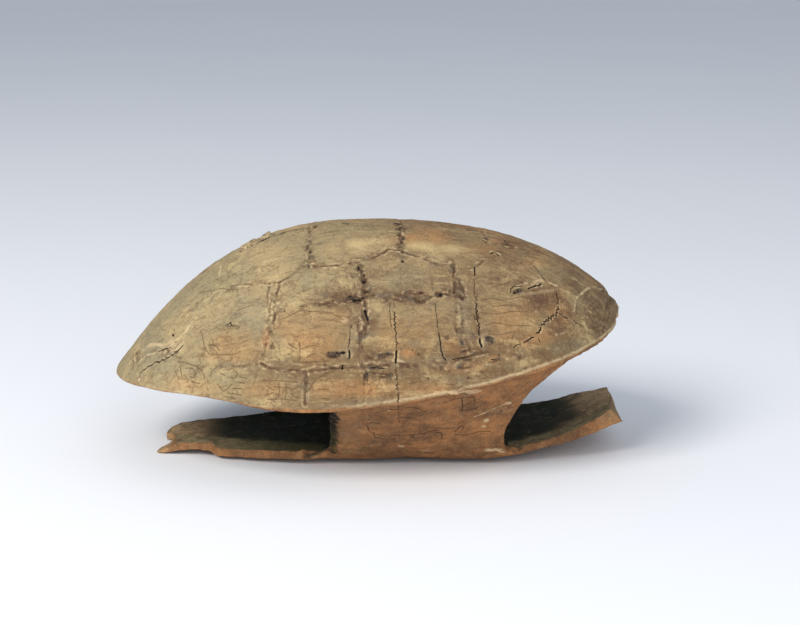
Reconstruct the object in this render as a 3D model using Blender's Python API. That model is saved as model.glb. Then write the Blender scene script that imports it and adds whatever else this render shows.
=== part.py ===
"""A whole turtle shell of dry bone, the kind that was cut with signs as an oracle bone.

The domed carapace, the flat plastron below it and the two bridges that join them at the
flanks have grown together, so the shell is one solid. It is hollow, and open at the neck
and at the four leg notches. +X is the head end, Z is up, and the plastron rests on Z = 0.
"""

import math

import bmesh
import bpy

MM = 0.001

# Carapace: its outline from above, the height of its rim and its crest, and its wall.
LENGTH = 190 * MM
HALF_LENGTH = LENGTH / 2
HALF_WIDTH = 68 * MM
OUTLINE_FULLNESS = 0.18
CREST_Z = 85.5 * MM
TAIL_Z = 30 * MM
HEAD_Z = 53 * MM
FLANK_RIM_Z = 30 * MM
SHOULDER_RIM_Z = 50 * MM
RIM_RISE_FROM_X = -20 * MM
HIP_FLARE = 2.5 * MM
HIP_FLARE_END_X = -35 * MM
NECK_ARCH = 3 * MM
NECK_ARCH_HALF = 16 * MM
DOME_FULLNESS = 2.3
DOME_BLUNT = 1.25
DOME_WALL = 3.2 * MM
DOME_CELLS = (44, 32)

# Plastron: where its rear lobe, its bridges and its front lobe begin and end along X.
REAR_TIP_X = -77.5 * MM
BRIDGE_REAR_X = -24 * MM
BRIDGE_FRONT_X = 60 * MM
FRONT_END_X = 94.5 * MM
LOBE_CELLS = (14, 18, 8)
ACROSS_CELLS = 14
MIDDLE_HALF = 34 * MM
REAR_TIP_HALF = 15 * MM
NOTCH_HALF = 32 * MM
FRONT_END_HALF = 23.5 * MM
FLAT_SHARE = 0.55
EDGE_LIFT = 3.2 * MM
EDGE_LIFT_X = 10 * MM
EDGE_LIFT_REACH = 88 * MM
NEAR_LOBE_EXTRA = 2.5 * MM
NEAR_LOBE_BREAK_X = -57 * MM
FRONT_RISE = 12 * MM
FRONT_RISE_FROM_X = 44 * MM
FRONT_TWIST = 1.5 * MM
PLATE_WALL = 3.8 * MM
FRONT_LIP = 5.2 * MM
FRONT_LIP_X = (72 * MM, 84 * MM)
NEAR_LIP = 8.4 * MM
NEAR_LIP_X = (80 * MM, 91 * MM)
NEAR_LIP_Y = (10 * MM, 20 * MM)
ANAL_NOTCH_HALF = 10 * MM
ANAL_NOTCH_DEPTH = 5 * MM

# Bridges: they stand between the leg notches and run up into the carapace rim.
BRIDGE_ROWS = 7
BRIDGE_WAIST_REAR_X = -19 * MM
BRIDGE_TUCK = 11 * MM
BRIDGE_TUCK_FROM_X = -11 * MM
BRIDGE_TUCK_REACH = 9 * MM
BRIDGE_WAIST_FRONT_X = 50 * MM
REAR_WEDGE = 13 * MM
REAR_WEDGE_FROM = 0.84
FRONT_FILLET = 22 * MM
RIM_INSET = 2 * MM
RIM_OVERLAP = 1.2 * MM
ROOT_RISE = 6 * MM
ROOT_INSET = 0.6 * MM
ROOT_WALL = 2.2 * MM

BONE_COLOUR = (0.50, 0.36, 0.20, 1.0)


def smooth_step(value, start, end):
    """0 before start, 1 after end, and a soft rise between them."""
    share = min(max((value - start) / (end - start), 0.0), 1.0)
    return share * share * (3 - 2 * share)


def arch(share, fullness, blunt=1.0):
    """1 at share 0 and 0 at share 1, the side view of one half of an arch."""
    return max(0.0, 1 - min(abs(share), 1.0) ** fullness) ** (1 / blunt)


def half_width(x):
    """Half the width of the carapace at x."""
    along = min(abs(x) / HALF_LENGTH, 1.0)
    return HALF_WIDTH * (1 + OUTLINE_FULLNESS * along**2) * math.sqrt(1 - along**2)


def rim_height(x, y):
    """Height of the carapace rim: level at the hips, rising to the neck."""
    rise = max(0.0, (x - RIM_RISE_FROM_X) / (HALF_LENGTH - RIM_RISE_FROM_X))
    z = FLANK_RIM_Z + (SHOULDER_RIM_Z - FLANK_RIM_Z) * rise**1.5
    hip = (x + HALF_LENGTH) / (HIP_FLARE_END_X + HALF_LENGTH)
    if 0 < hip < 1:
        z += HIP_FLARE * math.sin(math.pi * hip)
    neck = smooth_step(x, HALF_LENGTH * 0.8, HALF_LENGTH)
    return z + NECK_ARCH * neck * math.exp(-((y / NECK_ARCH_HALF) ** 2))


def crest_height(x):
    """Height of the carapace along its midline."""
    if x < 0:
        return TAIL_Z + (CREST_Z - TAIL_Z) * arch(x / HALF_LENGTH, 2.45)
    return HEAD_Z + (CREST_Z - HEAD_Z) * arch(x / HALF_LENGTH, 2.48, 1.3)


def dome_point(a, b):
    """Where a point (a, b) of a square from -1 to 1 lies on the carapace."""
    along = a * math.sqrt(1 - b * b / 2)
    across = b * math.sqrt(1 - a * a / 2)
    x = along * HALF_LENGTH
    y = across * HALF_WIDTH * (1 + OUTLINE_FULLNESS * along**2)
    share = abs(y) / max(half_width(x), 1e-9)
    rim = rim_height(x, y)
    return x, y, rim + max(crest_height(x) - rim, 0.0) * arch(share, DOME_FULLNESS, DOME_BLUNT)


def front_share(x):
    """0 where the plastron is flat, rising to 1 at its front end."""
    return max(0.0, (x - FRONT_RISE_FROM_X) / (FRONT_END_X - FRONT_RISE_FROM_X))


def lobe_half(x, near):
    """Half the width of the plastron at x. Its near side is wider, up to a broken step."""
    rear = min((x - REAR_TIP_X) / (BRIDGE_REAR_X - REAR_TIP_X), 1.0)
    half = REAR_TIP_HALF + (NOTCH_HALF - REAR_TIP_HALF) * rear
    half += (MIDDLE_HALF - NOTCH_HALF) * smooth_step(x, BRIDGE_REAR_X, 0)
    if near:
        step = smooth_step(x, NEAR_LOBE_BREAK_X - 2 * MM, NEAR_LOBE_BREAK_X + 2 * MM)
        half += NEAR_LOBE_EXTRA * step * (1 - smooth_step(x, -40 * MM, 0))
    return half + (FRONT_END_HALF - MIDDLE_HALF) * front_share(x) ** 1.4


def plate_point(x, b):
    """Where the plastron's underside lies at x, b being -1 at its near edge and 1 at its far.

    The middle is flat, the side edges curl up, and the front lobe rises with a slight twist.
    """
    curl = max(0.0, abs(b) - FLAT_SHARE) / (1 - FLAT_SHARE)
    lift = EDGE_LIFT * arch((x - EDGE_LIFT_X) / EDGE_LIFT_REACH, 1.5)
    z = FRONT_RISE * front_share(x) ** 1.5 - FRONT_TWIST * b * front_share(x)
    return x, b * lobe_half(x, b < 0), z + lift * curl**2


def dome_half(x, rise):
    """Half the width of the carapace at x, at a height of rise above its rim."""
    share = rise / (crest_height(x) - rim_height(x, half_width(x)))
    return half_width(x) * (1 - share**DOME_BLUNT) ** (1 / DOME_FULLNESS)


def wedge_share(t):
    """0 below the wedge that ends a bridge under the rim, rising to 1 at the rim."""
    return max(0.0, (t - REAR_WEDGE_FROM) / (1 - REAR_WEDGE_FROM))


def bridge_span(t):
    """Rear and front end of a bridge along X, t being 0 at the plastron and 1 at the rim."""
    foot = max(0.0, 1 - 2 * t) ** 3
    head = max(0.0, (t - 0.45) / 0.55) ** 2
    rear = BRIDGE_WAIST_REAR_X + (BRIDGE_REAR_X - BRIDGE_WAIST_REAR_X) * foot
    front = BRIDGE_WAIST_FRONT_X + (BRIDGE_FRONT_X - BRIDGE_WAIST_FRONT_X) * foot
    return rear - REAR_WEDGE * wedge_share(t), front + FRONT_FILLET * head


def bridge_point(share, t, side):
    """Where a bridge's outer face lies, share being 0 at its rear end and 1 at its front."""
    rear, front = bridge_span(t)
    x = rear + (front - rear) * share
    _, foot_y, foot_z = plate_point(x, side)
    head_y = side * (half_width(x) - RIM_INSET)
    head_z = rim_height(x, head_y) + RIM_OVERLAP
    tuck = min(max((BRIDGE_TUCK_FROM_X - x) / BRIDGE_TUCK_REACH, 0.0), 1.0) ** 1.5
    tuck *= BRIDGE_TUCK * min(1.0, 2.5 * t) * (1 - wedge_share(t)) ** 2
    y = foot_y + (head_y - foot_y) * t - side * tuck
    return x, y, foot_z + (head_z - foot_z) * t**1.1


def root_point(x, side):
    """Where a bridge ends, inside the wall of the carapace and running up with it."""
    y = side * (dome_half(x, ROOT_RISE) - ROOT_INSET)
    return x, y, rim_height(x, y) + ROOT_RISE


def new_object(name, bm):
    """Makes an object of a bmesh and adds it to the scene."""
    mesh = bpy.data.meshes.new(name)
    bm.to_mesh(mesh)
    bm.free()
    made = bpy.data.objects.new(name, mesh)
    bpy.context.collection.objects.link(made)
    return made


def as_guide(guide):
    """Marks an object that only shapes another one."""
    guide.hide_render = True
    guide.display_type = "WIRE"


def thicken(sheet, wall, side):
    """Gives a sheet its wall, to the side of its normals where side is 1."""
    solidify = sheet.modifiers.new("wall", "SOLIDIFY")
    solidify.thickness = wall
    solidify.offset = side
    solidify.use_even_offset = True
    return solidify


def combine(target, other, operation):
    """Joins or cuts one object with another."""
    boolean = target.modifiers.new(other.name, "BOOLEAN")
    boolean.operation = operation
    boolean.solver = "EXACT"
    boolean.object = other


def make_carapace():
    """The dome, from a square grid that is bent into an oval vault."""
    bm = bmesh.new()
    bmesh.ops.create_grid(bm, x_segments=DOME_CELLS[0], y_segments=DOME_CELLS[1], size=1)
    for vert in bm.verts:
        vert.co = dome_point(vert.co.x, vert.co.y)
    carapace = new_object("turtle_shell", bm)
    thicken(carapace, DOME_WALL, -1)
    return carapace


def station(a):
    """The plastron's X for a grid place from -1 to 1, so that its lobes meet grid lines."""
    ends = (REAR_TIP_X, BRIDGE_REAR_X, BRIDGE_FRONT_X, FRONT_END_X)
    place = (a + 1) / 2 * sum(LOBE_CELLS)
    for low, high, cells in zip(ends, ends[1:], LOBE_CELLS):
        if place <= cells + 1e-6 or high == FRONT_END_X:
            return low + (high - low) * place / cells
        place -= cells


def raise_bridge(bm, side):
    """Extrudes the plastron's edge between the leg notches up to the carapace rim."""
    edges = [
        e
        for e in bm.edges
        if e.is_boundary
        and all(v.co.y * side > 0 for v in e.verts)
        and all(BRIDGE_REAR_X - MM < v.co.x < BRIDGE_FRONT_X + MM for v in e.verts)
        and abs(e.verts[0].co.x - e.verts[1].co.x) > 0.1 * MM
    ]
    for row in range(1, BRIDGE_ROWS + 2):
        grown = bmesh.ops.extrude_edge_only(bm, edges=edges)["geom"]
        edges = [g for g in grown if isinstance(g, bmesh.types.BMEdge)]
        verts = [g for g in grown if isinstance(g, bmesh.types.BMVert)]
        for place, vert in enumerate(sorted(verts, key=lambda v: v.co.x)):
            if row <= BRIDGE_ROWS:
                vert.co = bridge_point(place / LOBE_CELLS[1], row / BRIDGE_ROWS, side)
            else:
                vert.co = root_point(vert.co.x, side)


def make_plastron():
    """The plastron and both bridges as one sheet, thicker at the front lip."""
    bm = bmesh.new()
    bmesh.ops.create_grid(bm, x_segments=sum(LOBE_CELLS), y_segments=ACROSS_CELLS, size=1)
    for vert in bm.verts:
        vert.co = plate_point(station(vert.co.x), vert.co.y)
    raise_bridge(bm, -1)
    raise_bridge(bm, 1)
    bmesh.ops.recalc_face_normals(bm, faces=bm.faces)
    if sum(face.normal.z for face in bm.faces) < 0:
        bmesh.ops.reverse_faces(bm, faces=bm.faces)
    plastron = new_object("plastron_and_bridges", bm)
    lip = plastron.vertex_groups.new(name="wall")
    for vert in plastron.data.vertices:
        lip_share = smooth_step(vert.co.x, *FRONT_LIP_X)
        wall = PLATE_WALL + (FRONT_LIP - PLATE_WALL) * lip_share
        near_share = smooth_step(vert.co.x, *NEAR_LIP_X) * smooth_step(-vert.co.y, *NEAR_LIP_Y)
        wall += (NEAR_LIP - FRONT_LIP) * near_share
        if vert.co.z > rim_height(vert.co.x, vert.co.y):
            wall = ROOT_WALL
        lip.add([vert.index], wall / NEAR_LIP, "REPLACE")
    thicken(plastron, NEAR_LIP, 1).vertex_group = lip.name
    as_guide(plastron)
    return plastron


def make_notch_cutter():
    """An upright oval that cuts the notch between the two rear tips."""
    bm = bmesh.new()
    bmesh.ops.create_cone(
        bm, cap_ends=True, segments=24, radius1=1, radius2=1, depth=20 * MM
    )
    for vert in bm.verts:
        vert.co.x = REAR_TIP_X + vert.co.x * ANAL_NOTCH_DEPTH
        vert.co.y *= ANAL_NOTCH_HALF
    cutter = new_object("anal_notch_cutter", bm)
    as_guide(cutter)
    return cutter


def bone_material():
    """Dry, matt bone."""
    bone = bpy.data.materials.new("old_bone")
    bone.use_nodes = True
    shader = bone.node_tree.nodes["Principled BSDF"]
    shader.inputs["Base Color"].default_value = BONE_COLOUR
    shader.inputs["Roughness"].default_value = 0.85
    shader.inputs["Metallic"].default_value = 0.0
    return bone


def main():
    for old in list(bpy.data.objects):
        bpy.data.objects.remove(old)
    shell = make_carapace()
    plastron = make_plastron()
    combine(plastron, make_notch_cutter(), "DIFFERENCE")
    combine(shell, plastron, "UNION")
    shell.data.materials.append(bone_material())
    shell.data.shade_smooth()
    shell.data.set_sharp_from_angle(angle=math.radians(40))


main()
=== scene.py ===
"""The finish of an old turtle shell that was cut with signs: one weathered piece of bone.

The shell is modelled in millimetres, as fine smooth sheets that follow the same arches as
the plain solid. They are fused, carved with seams, sutures, cracks and strokes, thinned to
the triangles that the relief needs, and then brought to metres.
"""

import itertools
import math

import bmesh
import bpy
import numpy as np
from mathutils import Matrix, Vector
from mathutils.bvhtree import BVHTree


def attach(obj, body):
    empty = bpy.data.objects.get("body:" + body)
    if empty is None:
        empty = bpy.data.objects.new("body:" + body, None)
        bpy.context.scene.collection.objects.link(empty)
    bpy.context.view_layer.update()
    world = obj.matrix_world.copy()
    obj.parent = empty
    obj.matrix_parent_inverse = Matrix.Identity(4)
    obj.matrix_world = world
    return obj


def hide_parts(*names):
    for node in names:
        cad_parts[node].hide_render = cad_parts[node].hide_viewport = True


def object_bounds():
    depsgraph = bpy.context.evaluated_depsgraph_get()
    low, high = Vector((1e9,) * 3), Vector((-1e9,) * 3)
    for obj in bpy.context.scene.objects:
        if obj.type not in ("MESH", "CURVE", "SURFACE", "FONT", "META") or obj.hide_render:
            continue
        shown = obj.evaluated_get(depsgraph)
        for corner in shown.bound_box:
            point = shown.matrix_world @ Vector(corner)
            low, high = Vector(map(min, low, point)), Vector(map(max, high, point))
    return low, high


METRE = 1000.0

# The carapace, in millimetres: outline, rim, crest and wall.
HALF_LENGTH = 95.0
HALF_WIDTH = 68.0
OUTLINE_FULLNESS = 0.18
CREST_Z = 85.5
TAIL_Z = 30.0
HEAD_Z = 53.0
FLANK_RIM_Z = 30.0
SHOULDER_RIM_Z = 50.0
RIM_RISE_FROM_X = -20.0
HIP_FLARE = 2.5
HIP_FLARE_END_X = -35.0
NECK_ARCH = 3.0
NECK_ARCH_HALF = 16.0
DOME_FULLNESS = 2.3
DOME_BLUNT = 1.25
DOME_WALL = 3.2
DOME_CELLS = (220, 160)
RIM_LIP_SHARE = 0.93
RIM_LIP_X = (-62, -48, -36, -24, 0, 45, 66, 84, 94)
RIM_LIP_DROP = (0.0, 0.2, 0.7, 1.3, 0.8, 0.9, 1.5, 1.2, 0.0)

# The plastron: its lobes and middle along X, its half widths and its lift at the edges.
REAR_TIP_X = -77.5
BRIDGE_REAR_X = -24.0
BRIDGE_FRONT_X = 60.0
FRONT_END_X = 95.9
LOBE_CELLS = (56, 72, 32)
ACROSS_CELLS = 56
MIDDLE_HALF = 34.0
REAR_TIP_HALF = 15.0
NOTCH_HALF = 32.0
FRONT_END_HALF = 23.5
FLAT_SHARE = 0.55
EDGE_LIFT = 3.2
EDGE_LIFT_X = 10.0
EDGE_LIFT_REACH = 88.0
NEAR_LOBE_EXTRA = 2.5
NEAR_LOBE_BREAK_X = -57.0
FRONT_RISE = 12.0
FRONT_RISE_FROM_X = 44.0
FRONT_TWIST = 1.5
PLATE_WALL = 3.8
FRONT_LIP = 5.2
FRONT_LIP_X = (72.0, 84.0)
NEAR_LIP = 5.6
NEAR_LIP_X = (80.0, 91.0)
NEAR_LIP_Y = (10.0, 20.0)
ANAL_NOTCH_HALF = 6.0
ANAL_NOTCH_DEPTH = 4.0
ANAL_NOTCH_Y = -3.0
NEAR_TIP_REACH = 1.8
NEAR_TIP_RAISED = 1.4
NEAR_TIP_WALL = 1.2
FAR_TIP_ROUND = 6.5
FAR_TIP_LIFT = 0.8
FAR_TIP_X = (-74.0, -56.0)
FRONT_SLANT = 0.5
FRONT_SLANT_X = (84.0, 94.0)

# The bridges between the leg notches.
BRIDGE_ROWS = 28
BRIDGE_WAIST_REAR_X = -14.5
BRIDGE_TUCK = 11.0
BRIDGE_TUCK_FROM_X = -9.5
BRIDGE_TUCK_REACH = 7.5
BRIDGE_WAIST_FRONT_X = 50.0
REAR_WEDGE = 17.5
REAR_WEDGE_FROM = 0.84
FRONT_FILLET = 21.0
FRONT_FILLET_FROM = 0.35
FRONT_SLOPE = 12.0
RIM_INSET = 2.0
RIM_OVERLAP = 1.2
ROOT_RISE = 6.0
ROOT_INSET = 0.6
ROOT_WALL = 2.2

# How finely the shell is fused and how many triangles the finished piece keeps.
FUSE_CELL = 0.45
SOFTEN_ROUNDS = 6
KEPT_TRIANGLES = 197000
HIDDEN_TRIANGLES = 46000
DETAIL_HELD = 0.02
LOBE_SEEN_Y = 26.0
CAVITY_HEART = (0.0, 0.0, 35.0)


def smooth_step(value, start, end):
    """0 before start, 1 after end, and a soft rise between them."""
    share = np.clip((value - start) / (end - start), 0.0, 1.0)
    return share * share * (3 - 2 * share)


def bell(value, width):
    """1 at 0, falling off on both sides over about width."""
    return np.exp(-((value / width) ** 2))


def arch(share, fullness, blunt=1.0):
    """1 at share 0 and 0 at share 1, the side view of one half of an arch."""
    return np.maximum(0.0, 1 - np.minimum(np.abs(share), 1.0) ** fullness) ** (1 / blunt)


def half_width(x):
    """Half the width of the carapace at x."""
    along = np.minimum(np.abs(x) / HALF_LENGTH, 1.0)
    return HALF_WIDTH * (1 + OUTLINE_FULLNESS * along**2) * np.sqrt(1 - along**2)


def rim_height(x, y):
    """Height of the carapace rim: level at the hips, rising to the neck."""
    rise = np.maximum(0.0, (x - RIM_RISE_FROM_X) / (HALF_LENGTH - RIM_RISE_FROM_X))
    hip = np.clip((x + HALF_LENGTH) / (HIP_FLARE_END_X + HALF_LENGTH), 0.0, 1.0)
    neck = smooth_step(x, HALF_LENGTH * 0.8, HALF_LENGTH)
    z = FLANK_RIM_Z + (SHOULDER_RIM_Z - FLANK_RIM_Z) * rise**1.5
    return z + HIP_FLARE * np.sin(np.pi * hip) + NECK_ARCH * neck * bell(y, NECK_ARCH_HALF)


def crest_height(x):
    """Height of the carapace along its midline."""
    tail = TAIL_Z + (CREST_Z - TAIL_Z) * arch(x / HALF_LENGTH, 2.45)
    head = HEAD_Z + (CREST_Z - HEAD_Z) * arch(x / HALF_LENGTH, 2.48, 1.3)
    return np.where(x < 0, tail, head)


def dome_points(flat):
    """Where the points of a square from -1 to 1 lie on the carapace."""
    along = flat[:, 0] * np.sqrt(1 - flat[:, 1] ** 2 / 2)
    across = flat[:, 1] * np.sqrt(1 - flat[:, 0] ** 2 / 2)
    x = along * HALF_LENGTH
    y = across * HALF_WIDTH * (1 + OUTLINE_FULLNESS * along**2)
    share = np.abs(y) / np.maximum(half_width(x), 1e-6)
    rim = rim_height(x, y)
    rise = np.maximum(crest_height(x) - rim, 0.0)
    z = rim + rise * arch(share, DOME_FULLNESS, DOME_BLUNT)
    drop = np.interp(x, RIM_LIP_X, RIM_LIP_DROP) * smooth_step(share, RIM_LIP_SHARE, 1)
    return np.stack([x, y, z - drop], axis=1)


def front_share(x):
    """0 where the plastron is flat, rising to 1 at its front end."""
    return np.maximum(0.0, (x - FRONT_RISE_FROM_X) / (FRONT_END_X - FRONT_RISE_FROM_X))


def lobe_half(x, side):
    """Half the width of the plastron at x. Its near side, -1, is wider up to a broken step."""
    rear = np.minimum((x - REAR_TIP_X) / (BRIDGE_REAR_X - REAR_TIP_X), 1.0)
    half = REAR_TIP_HALF + (NOTCH_HALF - REAR_TIP_HALF) * rear
    half = half + (MIDDLE_HALF - NOTCH_HALF) * smooth_step(x, BRIDGE_REAR_X, 0)
    step = smooth_step(x, NEAR_LOBE_BREAK_X - 2, NEAR_LOBE_BREAK_X + 2)
    extra = NEAR_LOBE_EXTRA * step * (1 - smooth_step(x, -40, 0))
    half = half + np.where(side < 0, extra, 0.0)
    return half + (FRONT_END_HALF - MIDDLE_HALF) * front_share(x) ** 1.4


def side_of(y):
    """-1 on the near side of the midline and 1 on the far one."""
    return np.where(y < 0, -1.0, 1.0)


def plate_points(x, b):
    """The plastron's underside at x, b being -1 at its near edge and 1 at its far one."""
    curl = np.maximum(0.0, np.abs(b) - FLAT_SHARE) / (1 - FLAT_SHARE)
    lift = EDGE_LIFT * arch((x - EDGE_LIFT_X) / EDGE_LIFT_REACH, 1.5)
    z = FRONT_RISE * front_share(x) ** 1.5 - FRONT_TWIST * b * front_share(x)
    return np.stack([x, b * lobe_half(x, b), z + lift * curl**2], axis=-1)


def bridge_row(shares, t, side):
    """One row of a bridge's outer face, t being 0 at the plastron and 1 at the rim."""
    foot = max(0.0, 1 - 2 * t) ** 3
    corner = max(0.0, 1 - 2 * t) ** 8
    head = max(0.0, (t - FRONT_FILLET_FROM) / (1 - FRONT_FILLET_FROM))
    rear = BRIDGE_WAIST_REAR_X + (BRIDGE_REAR_X - BRIDGE_WAIST_REAR_X) * foot**1.5
    front = BRIDGE_WAIST_FRONT_X + (BRIDGE_FRONT_X - BRIDGE_WAIST_FRONT_X) * corner
    wedge = max(0.0, (t - REAR_WEDGE_FROM) / (1 - REAR_WEDGE_FROM))
    rear = rear - REAR_WEDGE * wedge
    front = front + FRONT_SLOPE * head**1.2 + FRONT_FILLET * head**4
    x = rear + (front - rear) * shares
    foot_points = plate_points(x, np.full_like(x, side))
    head_y = side * (half_width(x) - RIM_INSET)
    head_z = rim_height(x, head_y) + RIM_OVERLAP
    y = foot_points[:, 1] + (head_y - foot_points[:, 1]) * t
    tuck = np.clip((BRIDGE_TUCK_FROM_X - x) / BRIDGE_TUCK_REACH, 0, 1) ** 1.5
    y = y - side * BRIDGE_TUCK * tuck * min(1.0, 2.5 * t) * (1 - wedge) ** 2
    z = foot_points[:, 2] + (head_z - foot_points[:, 2]) * t**1.1
    return np.stack([x, y, z], axis=1)


def root_row(x, side):
    """The last row of a bridge, inside the wall of the carapace and running up with it."""
    share = ROOT_RISE / (crest_height(x) - rim_height(x, half_width(x)))
    inner = half_width(x) * (1 - share**DOME_BLUNT) ** (1 / DOME_FULLNESS)
    y = side * (inner - ROOT_INSET)
    return np.stack([x, y, rim_height(x, y) + ROOT_RISE], axis=1)


def chance(cell, seed):
    """A repeatable number from -1 to 1 for each whole-number cell."""
    mixed = cell @ np.array([374761393, 668265263, 362437]) + seed * 1274126177
    mixed = mixed & 0xFFFFFFFF
    mixed = ((mixed ^ (mixed >> 13)) * 1274126177) & 0xFFFFFFFF
    return (mixed ^ (mixed >> 16)) / 2.0**31 - 1


def lumps(points, size, seed):
    """Smooth noise from -1 to 1 whose lumps are about size across."""
    place = points / size
    cell = np.floor(place).astype(np.int64)
    share = place - cell
    share = share * share * (3 - 2 * share)
    total = np.zeros(len(points))
    for corner in itertools.product((0, 1), repeat=3):
        weight = np.prod(np.where(corner, share, 1 - share), axis=1)
        total += weight * chance(cell + np.array(corner), seed)
    return total


def rough(points, size, seed, layers=3):
    """Noise of several sizes, each half the one before, from about -1 to 1."""
    total = np.zeros(len(points))
    for layer in range(layers):
        total += lumps(points, size / 2**layer, seed + layer) / 2**layer
    return total / 1.5


def read(mesh_part, name, width):
    """One value list of a mesh, such as its points, as rows."""
    values = np.zeros(len(mesh_part) * width, np.float32)
    mesh_part.foreach_get(name, values)
    return values.reshape(-1, width).astype(float)


def placed(name, data):
    """Makes an object of a mesh, a lamp or a camera."""
    made = bpy.data.objects.new(name, data)
    bpy.context.collection.objects.link(made)
    return made


def new_object(name, bm):
    """Makes an object of a bmesh."""
    mesh = bpy.data.meshes.new(name)
    bm.to_mesh(mesh)
    bm.free()
    return placed(name, mesh)


def finished(source, name):
    """A new object that holds the mesh of source as its modifiers leave it."""
    graph = bpy.context.evaluated_depsgraph_get()
    mesh = bpy.data.meshes.new_from_object(source.evaluated_get(graph))
    bpy.data.objects.remove(source)
    return placed(name, mesh)


def thicken(sheet, wall, side):
    """Gives a sheet its wall, to the side of its normals where side is 1."""
    solidify = sheet.modifiers.new("wall", "SOLIDIFY")
    solidify.thickness = wall
    solidify.offset = side
    solidify.use_even_offset = True
    return solidify


def dome_sheet():
    """The carapace, from a square grid that is bent into an oval vault."""
    bm = bmesh.new()
    bmesh.ops.create_grid(bm, x_segments=DOME_CELLS[0], y_segments=DOME_CELLS[1], size=1)
    flat = np.array([vert.co for vert in bm.verts])
    for vert, point in zip(bm.verts, dome_points(flat)):
        vert.co = point
    dome = new_object("dome", bm)
    thicken(dome, DOME_WALL, -1)
    return finished(dome, "dome")


def stations(a):
    """The plastron's X for grid places from -1 to 1, so that its lobes meet grid lines."""
    ends = np.cumsum((0,) + LOBE_CELLS) / sum(LOBE_CELLS)
    return np.interp((a + 1) / 2, ends, (REAR_TIP_X, BRIDGE_REAR_X, BRIDGE_FRONT_X, FRONT_END_X))


def raise_bridge(bm, side):
    """Extrudes the plastron's edge between the leg notches up to the carapace rim."""
    edges = [
        e
        for e in bm.edges
        if e.is_boundary
        and all(v.co.y * side > 0 for v in e.verts)
        and all(BRIDGE_REAR_X - 0.1 < v.co.x < BRIDGE_FRONT_X + 0.1 for v in e.verts)
    ]
    shares = np.linspace(0, 1, LOBE_CELLS[1] + 1)
    for row in range(1, BRIDGE_ROWS + 2):
        grown = bmesh.ops.extrude_edge_only(bm, edges=edges)["geom"]
        edges = [g for g in grown if isinstance(g, bmesh.types.BMEdge)]
        verts = [g for g in grown if isinstance(g, bmesh.types.BMVert)]
        verts.sort(key=lambda v: v.co.x)
        if row <= BRIDGE_ROWS:
            places = bridge_row(shares, row / BRIDGE_ROWS, side)
        else:
            places = root_row(np.array([v.co.x for v in verts]), side)
        for vert, place in zip(verts, places):
            vert.co = place


def slant_ends(mesh):
    """Slants the broken front end and lifts the far edge of the tail into a knob."""
    points = read(mesh.vertices, "co", 3)
    x, y, z = points.T
    over = np.clip(z - plate_points(x, np.zeros_like(x))[:, 2], 0, 10)
    points[:, 0] -= FRONT_SLANT * over * smooth_step(x, *FRONT_SLANT_X) * smooth_step(-y, -10, 15)
    knob = (1 - smooth_step(x, *FAR_TIP_X)) * smooth_step(y, 5, 15) * (z < 20)
    points[:, 2] += FAR_TIP_LIFT * knob
    mesh.vertices.foreach_set("co", points.astype(np.float32).ravel())


def plate_sheet():
    """The plastron and both bridges as one sheet, with the notch between the rear tips."""
    bm = bmesh.new()
    bmesh.ops.create_grid(bm, x_segments=sum(LOBE_CELLS), y_segments=ACROSS_CELLS, size=1)
    flat = np.array([vert.co for vert in bm.verts])
    x = stations(flat[:, 0])
    places = plate_points(x, flat[:, 1])
    y = places[:, 1]
    tail = 1 - smooth_step(x, REAR_TIP_X, REAR_TIP_X + 15)
    shift = ANAL_NOTCH_DEPTH * arch((y - ANAL_NOTCH_Y) / ANAL_NOTCH_HALF, 2, 2)
    shift += FAR_TIP_ROUND * np.clip(y / REAR_TIP_HALF, 0, 1) ** 3
    shift -= NEAR_TIP_REACH * smooth_step(-y, 6, 14)
    places[:, 0] += shift * tail
    broken = 1 - smooth_step(x, NEAR_LOBE_BREAK_X - 2.5, NEAR_LOBE_BREAK_X)
    chipped = smooth_step(-y, 4, 9) * broken
    places[:, 2] += NEAR_TIP_RAISED * chipped * smooth_step(x, REAR_TIP_X, REAR_TIP_X + 13)
    for vert, place in zip(bm.verts, places):
        vert.co = place
    for side in (-1, 1):
        raise_bridge(bm, side)
    bmesh.ops.recalc_face_normals(bm, faces=bm.faces)
    if sum(face.normal.z for face in bm.faces) < 0:
        bmesh.ops.reverse_faces(bm, faces=bm.faces)
    plate = new_object("plate", bm)
    points = read(plate.data.vertices, "co", 3)
    wall = PLATE_WALL + (FRONT_LIP - PLATE_WALL) * smooth_step(points[:, 0], *FRONT_LIP_X)
    near_lip = smooth_step(points[:, 0], *NEAR_LIP_X) * smooth_step(-points[:, 1], *NEAR_LIP_Y)
    wall += (NEAR_LIP - FRONT_LIP) * near_lip
    wall = np.where(points[:, 2] > rim_height(points[:, 0], points[:, 1]), ROOT_WALL, wall)
    thin = smooth_step(-points[:, 1], 4, 9) * (1 - smooth_step(points[:, 0], REAR_TIP_X - 2, -69))
    wall += (NEAR_TIP_WALL - wall) * thin
    group = plate.vertex_groups.new(name="wall")
    for index, share in enumerate(wall / NEAR_LIP):
        group.add([index], share, "REPLACE")
    thicken(plate, NEAR_LIP, 1).vertex_group = group.name
    plate = finished(plate, "plate")
    slant_ends(plate.data)
    return plate


def fused_blank():
    """Both sheets fused into one closed skin of even cells, with softened edges."""
    bm = bmesh.new()
    for sheet in (dome_sheet(), plate_sheet()):
        bm.from_mesh(sheet.data)
        bpy.data.objects.remove(sheet)
    blank = new_object("blank", bm)
    fuse = blank.modifiers.new("fuse", "REMESH")
    fuse.mode = "VOXEL"
    fuse.voxel_size = FUSE_CELL
    soften = blank.modifiers.new("soften", "SMOOTH")
    soften.factor = 0.5
    soften.iterations = SOFTEN_ROUNDS
    return finished(blank, "blank")


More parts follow.
